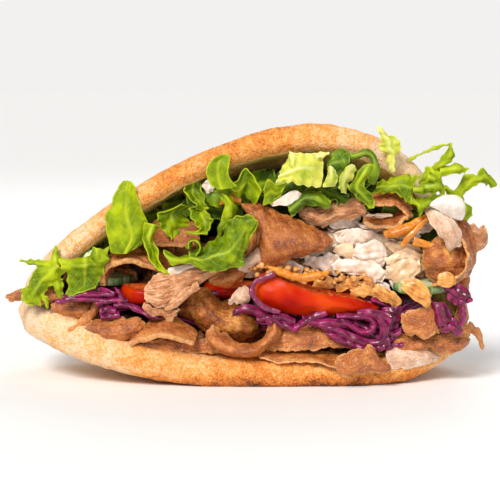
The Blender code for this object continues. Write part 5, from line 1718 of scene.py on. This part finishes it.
hand_slice("meat_hook", (
    (0,-6,-3, 0,-9,-4.5, -1,-12,-3), (5,-4,-3, 5,-8,-6, 4,-12.5,-3), (9,-6,-3, 9,-9,-5, 8,-12,-3),
), name="slice_by_hook", seed=146, finish=pale_meat, thick=2.5, torn=0.8, grit=0.35)
hand_slice("tomato_middle", (
    (-3,-2.5,-25, -3,-3,-25.5, -3,-3.5,-25), (0.5,3,-25, 0,0,-26.5, -0.5,-3.8,-25),
    (4,5.5,-25, 3.5,1,-27, 3.5,-3.5,-25), (7.5,3,-25, 7.5,0,-26, 7,-3,-25),
), name="slice_pale_bit", seed=147, finish=pale_meat, thick=1.1, torn=1.0, grit=0.35)
hand_slice("meat_diagonal", (
    (-21,-8,0, -21,-9,-0.5, -20.5,-10,0), (-18,-8,-0.5, -17.5,-11,-1.5, -17,-14,-0.5),
    (-14,-9.5,0, -13,-11.5,-2, -12.5,-13,0), (-10,-10,0, -9.5,-12.5,-1, -9,-15.5,0),
    (-7,-10.5,-1, -6,-11.5,-2, -5.5,-13.5,-1), (-4,-10,-1, -3.5,-10.5,-1.5, -3,-11,-1),
), name="slice_pink_bits", seed=148, finish=light_meat, thick=1.0, torn=1.2, torn_step=2.5, grit=0.8)
hand_slice("meat_pocket_floor", (
    (-13,1.5,-1, -12.5,2.3,-2, -12,3,-1), (-8,1,-2, -8,2.2,-3, -8,3.4,-2), (-2,1,-1, -2,2,-2, -2,3,-1),
), name="slice_in_pocket", seed=149, finish=pale_meat, thick=1.5, grit=0.35)
hand_slice("meat_broad", (
    (-25,-15,1, -24,-16,0.5, -22.5,-17,1), (-22,-11,0, -20.5,-13,-1.5, -19,-16,0),
    (-18,-7,0, -16.5,-10.5,-2, -15.5,-15,0), (-14,-4,1, -13,-8.5,-1, -12.5,-12.5,0),
), name="slice_fold", seed=150, finish=pale_meat, thick=1.4, torn=0.5, grit=0.35)

# %% Odd shreds
hand_shred("fried_onion_right", "cucumber_right", (
    (-9.5,4.5,-14, -10,2,-15, -9,0,-14), (-4,5.5,-15, -4.5,1,-17, -4,-4,-15), (1.5,2,-15, 1,-1.5,-17, 0,-6,-15),
    (4,-3,-14, 3,-5,-15, 1.5,-7.5,-14),
), (
    (6,7,-14, 6,4,-15, 6,2,-14), (11,9,-14, 11,5,-16, 10,1,-14), (15,6,-12, 15,4,-13, 15,2,-12),
), finish=golden, slot="onion", replaces=False, seed=151, torn=0.9, torn_step=2.4, thick=0.8, rim=0.4, lumps=0.1,
    bulge=0.4)
hand_shred("fried_onion_front", "tomato_front", (
    (29,1,-9, 28.5,-1,-10, 29,-4,-9), (34,0,-10, 34,-4,-12.5, 33,-7,-10), (39,-3,-10, 38,-6,-12.5, 37,-9,-10),
    (43.5,-7,-9, 42.5,-9,-10, 41.5,-10.5,-9),
), (
    (20,-1,-10, 20,-2.5,-11, 20,-4,-10), (25,1,-11, 25,-2,-12.5, 25,-5,-11), (30,-1,-10, 30,-3,-11, 30,-5,-10),
), (
    (-14,5,-8, -14,4,-9, -14,3,-8), (-9,4.5,-9, -9,3,-10, -9,1.5,-9), (-4,3.5,-9, -4,2,-10, -4,0.5,-9),
    (0,3,-8, 0,2,-9, 0,1,-8),
), (
    (2,2.5,-9, 2,1,-10, 2,-0.5,-9), (7,3,-9, 7,1,-10.5, 7,-1.5,-9), (12,2,-9, 12,0.5,-10, 12,-1,-9),
), (
    (13,1,-10, 13,-1,-11, 13,-3,-10), (18,2.5,-10, 18,0,-11.5, 18,-2.5,-10), (22,1,-9, 22,-0.5,-10, 22,-2,-9),
), finish=golden, slot="onion", replaces=False, seed=152, torn=0.9, torn_step=2.0, thick=0.8, wavy=0.5, lumps=0.15,
    rim=0.3, bulge=0.4)
hand_shred("cabbage_on_slice", "meat_diagonal", (
    (-9,9,-3, -9,7,-4, -8,5,-3), (-4,10,-3, -3.5,8,-4.5, -3,6,-3), (2,11,-2, 2.5,10,-3.5, 3,9,-2),
), finish=cream, slot="white_cabbage", replaces=False, seed=153, torn=0.4, thick=0.8, rim=0.4, bulge=0.3)
hand_shred("cabbage_by_loop", "leaf_loop", (
    (-19,-2,0, -18.5,-3,-0.5, -18,-3.5,0), (-14,1,0, -13,-1,-1.5, -12,-3,0), (-8,4,0, -8,1.5,-1.5, -8,-1,0),
    (-4.5,2.5,0, -4,1.5,-0.5, -5,0,0),
), finish=cream, slot="white_cabbage", replaces=False, seed=154, torn=0.6, thick=0.6, lumps=0.1, rim=0.4, bulge=0.2,
    wavy=0.5)
hand_shred("cabbage_in_frill", "leaf_frill_left", (
    (10,18,0, 11,17,-0.5, 11.5,15,0), (12.5,21,0, 13,18,-1, 13.5,15,0), (16,19,0, 15.8,17.5,0, 15.5,16,0),
), finish=cream, slot="white_cabbage", replaces=False, seed=155, torn=0.6, thick=0.6, lumps=0.1, rim=0.4, bulge=0.2,
    wavy=0.5)
hand_shred("carrot_in_frill", "leaf_frill_left", (
    (18,9.5,0, 18.5,11,-0.5, 19,12.5,0), (23,10.5,-1, 23,12.5,-2, 23,14.5,-1), (28,10,-1, 28,11.5,-1.5, 28,13,-1),
), finish=orange, slot="carrot", replaces=False, seed=156, torn=0.4, thick=1.2)
print("odd pieces done")

# %% Broad ribbons of red cabbage


def ribbons_of(name, node, back, *rows, **shape):
    shape = {"thick": 0.8, "torn": 0.15, "wavy": 0.3, "lumps": 0.1, "cell": 0.5, **shape}
    return hand_shred(
        name, node, *(ribbon(back, *row) for row in rows), finish=purple, slot="red_cabbage", replaces=False, **shape,
    )


ribbons_of(
    "red_cabbage_broad", "tomato_front", -17.5,
    ((-35,-11.5, -35,-13.5), (-31,-9, -30.5,-11.5), (-26.5,-8.5, -26,-12), (-21,-11.5, -20.5,-15),
     (-16.5,-15, -17,-17.5)),
    ((-8,-19, -7,-21), (-3.5,-15.5, -2.5,-18), (2,-12.5, 3,-15), (7.5,-10.5, 8.5,-12.5)),
    ((12.5,-12.5, 13,-14.5), (20,-12.5, 20,-14.5), (28,-13.5, 27.5,-15.5), (30.5,-17, 28.5,-17.5),
     (29,-21, 27.5,-19.5), (24,-21.5, 24,-19.5), (18,-18, 19,-16.5), (14,-15, 15.5,-14.5)),
    ((5,-15.5, 4.5,-18), (12.5,-18.5, 12,-21.5), (19.5,-21.5, 19,-25), (28,-24.5, 28,-28), (37,-23, 37.5,-26)),
    ((-16.5,-11.5, -16.5,-14.5), (-11,-13, -11,-16), (-6,-15, -6.5,-17)),
    ((-24,-14, -24,-16), (-18,-13, -18,-15.5), (-12,-16, -12,-18.5), (-6,-18, -6,-20)),
    ((-3,-13, -3,-15), (3,-15, 3,-18), (10,-15, 10,-18), (17,-15.5, 17,-18)),
    ((8,-20, 8,-22), (15,-23, 15,-26), (22,-26, 22,-29), (29,-27, 29,-30), (35,-26, 35,-28.5)),
    ((22,-11, 22,-13.5), (28,-10.5, 28,-14), (34,-12, 34,-15), (38,-15, 37,-17.5)),
    ((33,-13, 31,-14), (36,-17, 33,-18), (36,-22, 33,-22), (33,-27, 31,-26)),
    seed=161,
)
ribbons_of(
    "red_cabbage_left", "meat_slab", -1.0,
    ((2,17.5, 3.2,16.8), (5,13, 6.6,12), (8.5,9.2, 9.5,7.8), (14,6.6, 14.4,5), (21.5,4, 22,2.5)),
    ((1.5,10.2, 1.5,8.4), (7,10.3, 7,8.5), (12.5,8.4, 12,6.7), (18,5.8, 17.5,4.2)),
    ((-5,7, -5,4.5), (-1.5,8.5, -2,5.5), (2.5,7.5, 2.5,5)),
    ((-4.5,4.8, -4.5,3), (0,5, 0,2.8), (4,6, 4.5,4)),
    ((-25.5,11.4, -25,9.8), (-21,12.3, -20.5,10.4), (-14,15.3, -13.5,13.3), (-6,15, -6,13), (2,15.2, 2,13.6)),
    ((-22,14, -22,12.6), (-16,13, -16,11.4), (-9,12.8, -9,11.2), (-2,12, -2,10.4)),
    ((3,16.8, 4.2,16.5), (4,12.5, 5.4,12), (2.6,8.8, 4,8.4)),
    ((-7,11, -7,9.3), (0,12, 0,10.2), (8,12.5, 8.3,10.8)),
    seed=181,
)
print("broad ribbons done")

# %% [markdown]
# ## Crumbs
# Crumbs of meat and fried onion fall onto the tomato. A crumb starts as a small ball of twenty faces,
# each split in four, pressed out of round.

# %% Crumbs


def crumb(name, size, seed):
    drop_selection()
    bpy.ops.mesh.primitive_ico_sphere_add(subdivisions=2, radius=size * MM / 2)
    obj = bpy.context.object
    obj.name = name
    obj.location = (seed * 7 * MM, seed * 3 * MM, 0)
    bpy.ops.object.transform_apply(location=True)
    press(obj, grain=size, depth=size * 0.8)
    return centred(obj)


crumbs = [crumb(f"crumb_{i}", size, i + 1) for i, size in enumerate((1.3, 2.2, 3.2))]
golden_crumb = core_finish("fried_crumbs", (0.45, 0.13, 0.02), (0.92, 0.50, 0.16), 0.5)
CRUMB_COUNT = 170
crumb_places = []
for _ in range(CRUMB_COUNT):
    share = layer_rng.uniform(0.05, 1.0)
    middle = spot("tomato_front", share, layer_rng.uniform(0.0, 0.45), layer_rng.uniform(0.85, 1.15) - 0.35 * share)
    crumb_places.append((middle, [layer_rng.uniform(0, 360) for _ in range(3)], layer_rng.uniform(0.6, 1.1)))
serve(copies_of(crumbs, "crumbs_on_tomato", crumb_places), golden_crumb, "carrot")

for model in (*meat_bits, *purple_bits, *leaf_bits, *cream_bits, *crumbs):
    bpy.data.objects.remove(model, do_unlink=True)
print("crumbs done")

# %% [markdown]
# ## Floor, light and camera
# A pale floor and soft light from large lamps keep the colours of the food true. The camera stands low
# and far off with a long lens, so that the sandwich keeps its real proportions.

# %% The studio
drop_selection()
bpy.ops.mesh.primitive_plane_add(size=30)
floor = bpy.context.object
floor.name = "floor"
floor_finish = Finish("floor", (0.92, 0.92, 0.92), roughness=0.7)
floor.data.materials.append(floor_finish.material)
floor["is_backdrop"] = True

world = bpy.data.worlds.new("soft_white")
world.use_nodes = True
sky = world.node_tree.nodes["Background"]
sky.inputs["Color"].default_value = (1, 1, 1, 1)
sky.inputs["Strength"].default_value = 0.40
backdrop = world.node_tree.nodes.new("ShaderNodeBackground")
backdrop.inputs["Color"].default_value = (0.896, 0.880, 0.863, 1)
rays = world.node_tree.nodes.new("ShaderNodeLightPath")
choice = world.node_tree.nodes.new("ShaderNodeMixShader")
world.node_tree.links.new(rays.outputs["Is Camera Ray"], choice.inputs[0])
world.node_tree.links.new(sky.outputs[0], choice.inputs[1])
world.node_tree.links.new(backdrop.outputs[0], choice.inputs[2])
world.node_tree.links.new(choice.outputs[0], world.node_tree.nodes["World Output"].inputs["Surface"])
bpy.context.scene.world = world
bpy.context.scene.view_settings.view_transform = "Standard"


def lamp(name, place, size, power, colour=(1, 1, 1)):
    light = bpy.data.lights.new(name, "AREA")
    light.shape = "DISK"
    light.size = size
    light.energy = power
    light.color = colour
    obj = bpy.data.objects.new(name, light)
    bpy.context.scene.collection.objects.link(obj)
    obj.location = place
    obj.rotation_euler = (Vector((0, 0, 0.06)) - Vector(place)).to_track_quat("-Z", "Y").to_euler()


sun_data = bpy.data.lights.new("key_light", "SUN")
sun_data.energy = 3.2
sun_data.angle = math.radians(22)
sun_data.color = (1.0, 0.97, 0.93)
sun = bpy.data.objects.new("key_light", sun_data)
bpy.context.scene.collection.objects.link(sun)
sun.rotation_euler = Vector((0.38, 0.84, -0.76)).to_track_quat("-Z", "Y").to_euler()
lamp("fill_light", (0.7, -0.9, 0.35), 0.5, 2.0)
lamp("back_light", (0.2, 0.9, 0.9), 0.6, 3.0)

CAMERA_DISTANCE = 0.8
CAMERA_ELEVATION = math.radians(6)
SEEN_WIDTH = 0.230
camera_data = bpy.data.cameras.new("camera")
camera = bpy.data.objects.new("camera", camera_data)
bpy.context.scene.collection.objects.link(camera)
camera_target = Vector((0.0041, -0.045, 0.0623))
towards_camera = Vector((0, -math.cos(CAMERA_ELEVATION), math.sin(CAMERA_ELEVATION)))
camera.location = camera_target + towards_camera * CAMERA_DISTANCE
camera.rotation_euler = (math.radians(90) - CAMERA_ELEVATION, 0, 0)
camera_data.sensor_width = 36
camera_data.lens = 36 * CAMERA_DISTANCE / SEEN_WIDTH
camera_data.clip_end = 10
bpy.context.scene.camera = camera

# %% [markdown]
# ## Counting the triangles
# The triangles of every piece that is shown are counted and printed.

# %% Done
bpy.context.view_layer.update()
triangles = sum(len(face.vertices) - 2 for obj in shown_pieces() if obj.type == "MESH" for face in obj.data.polygons)
print("triangles:", triangles)
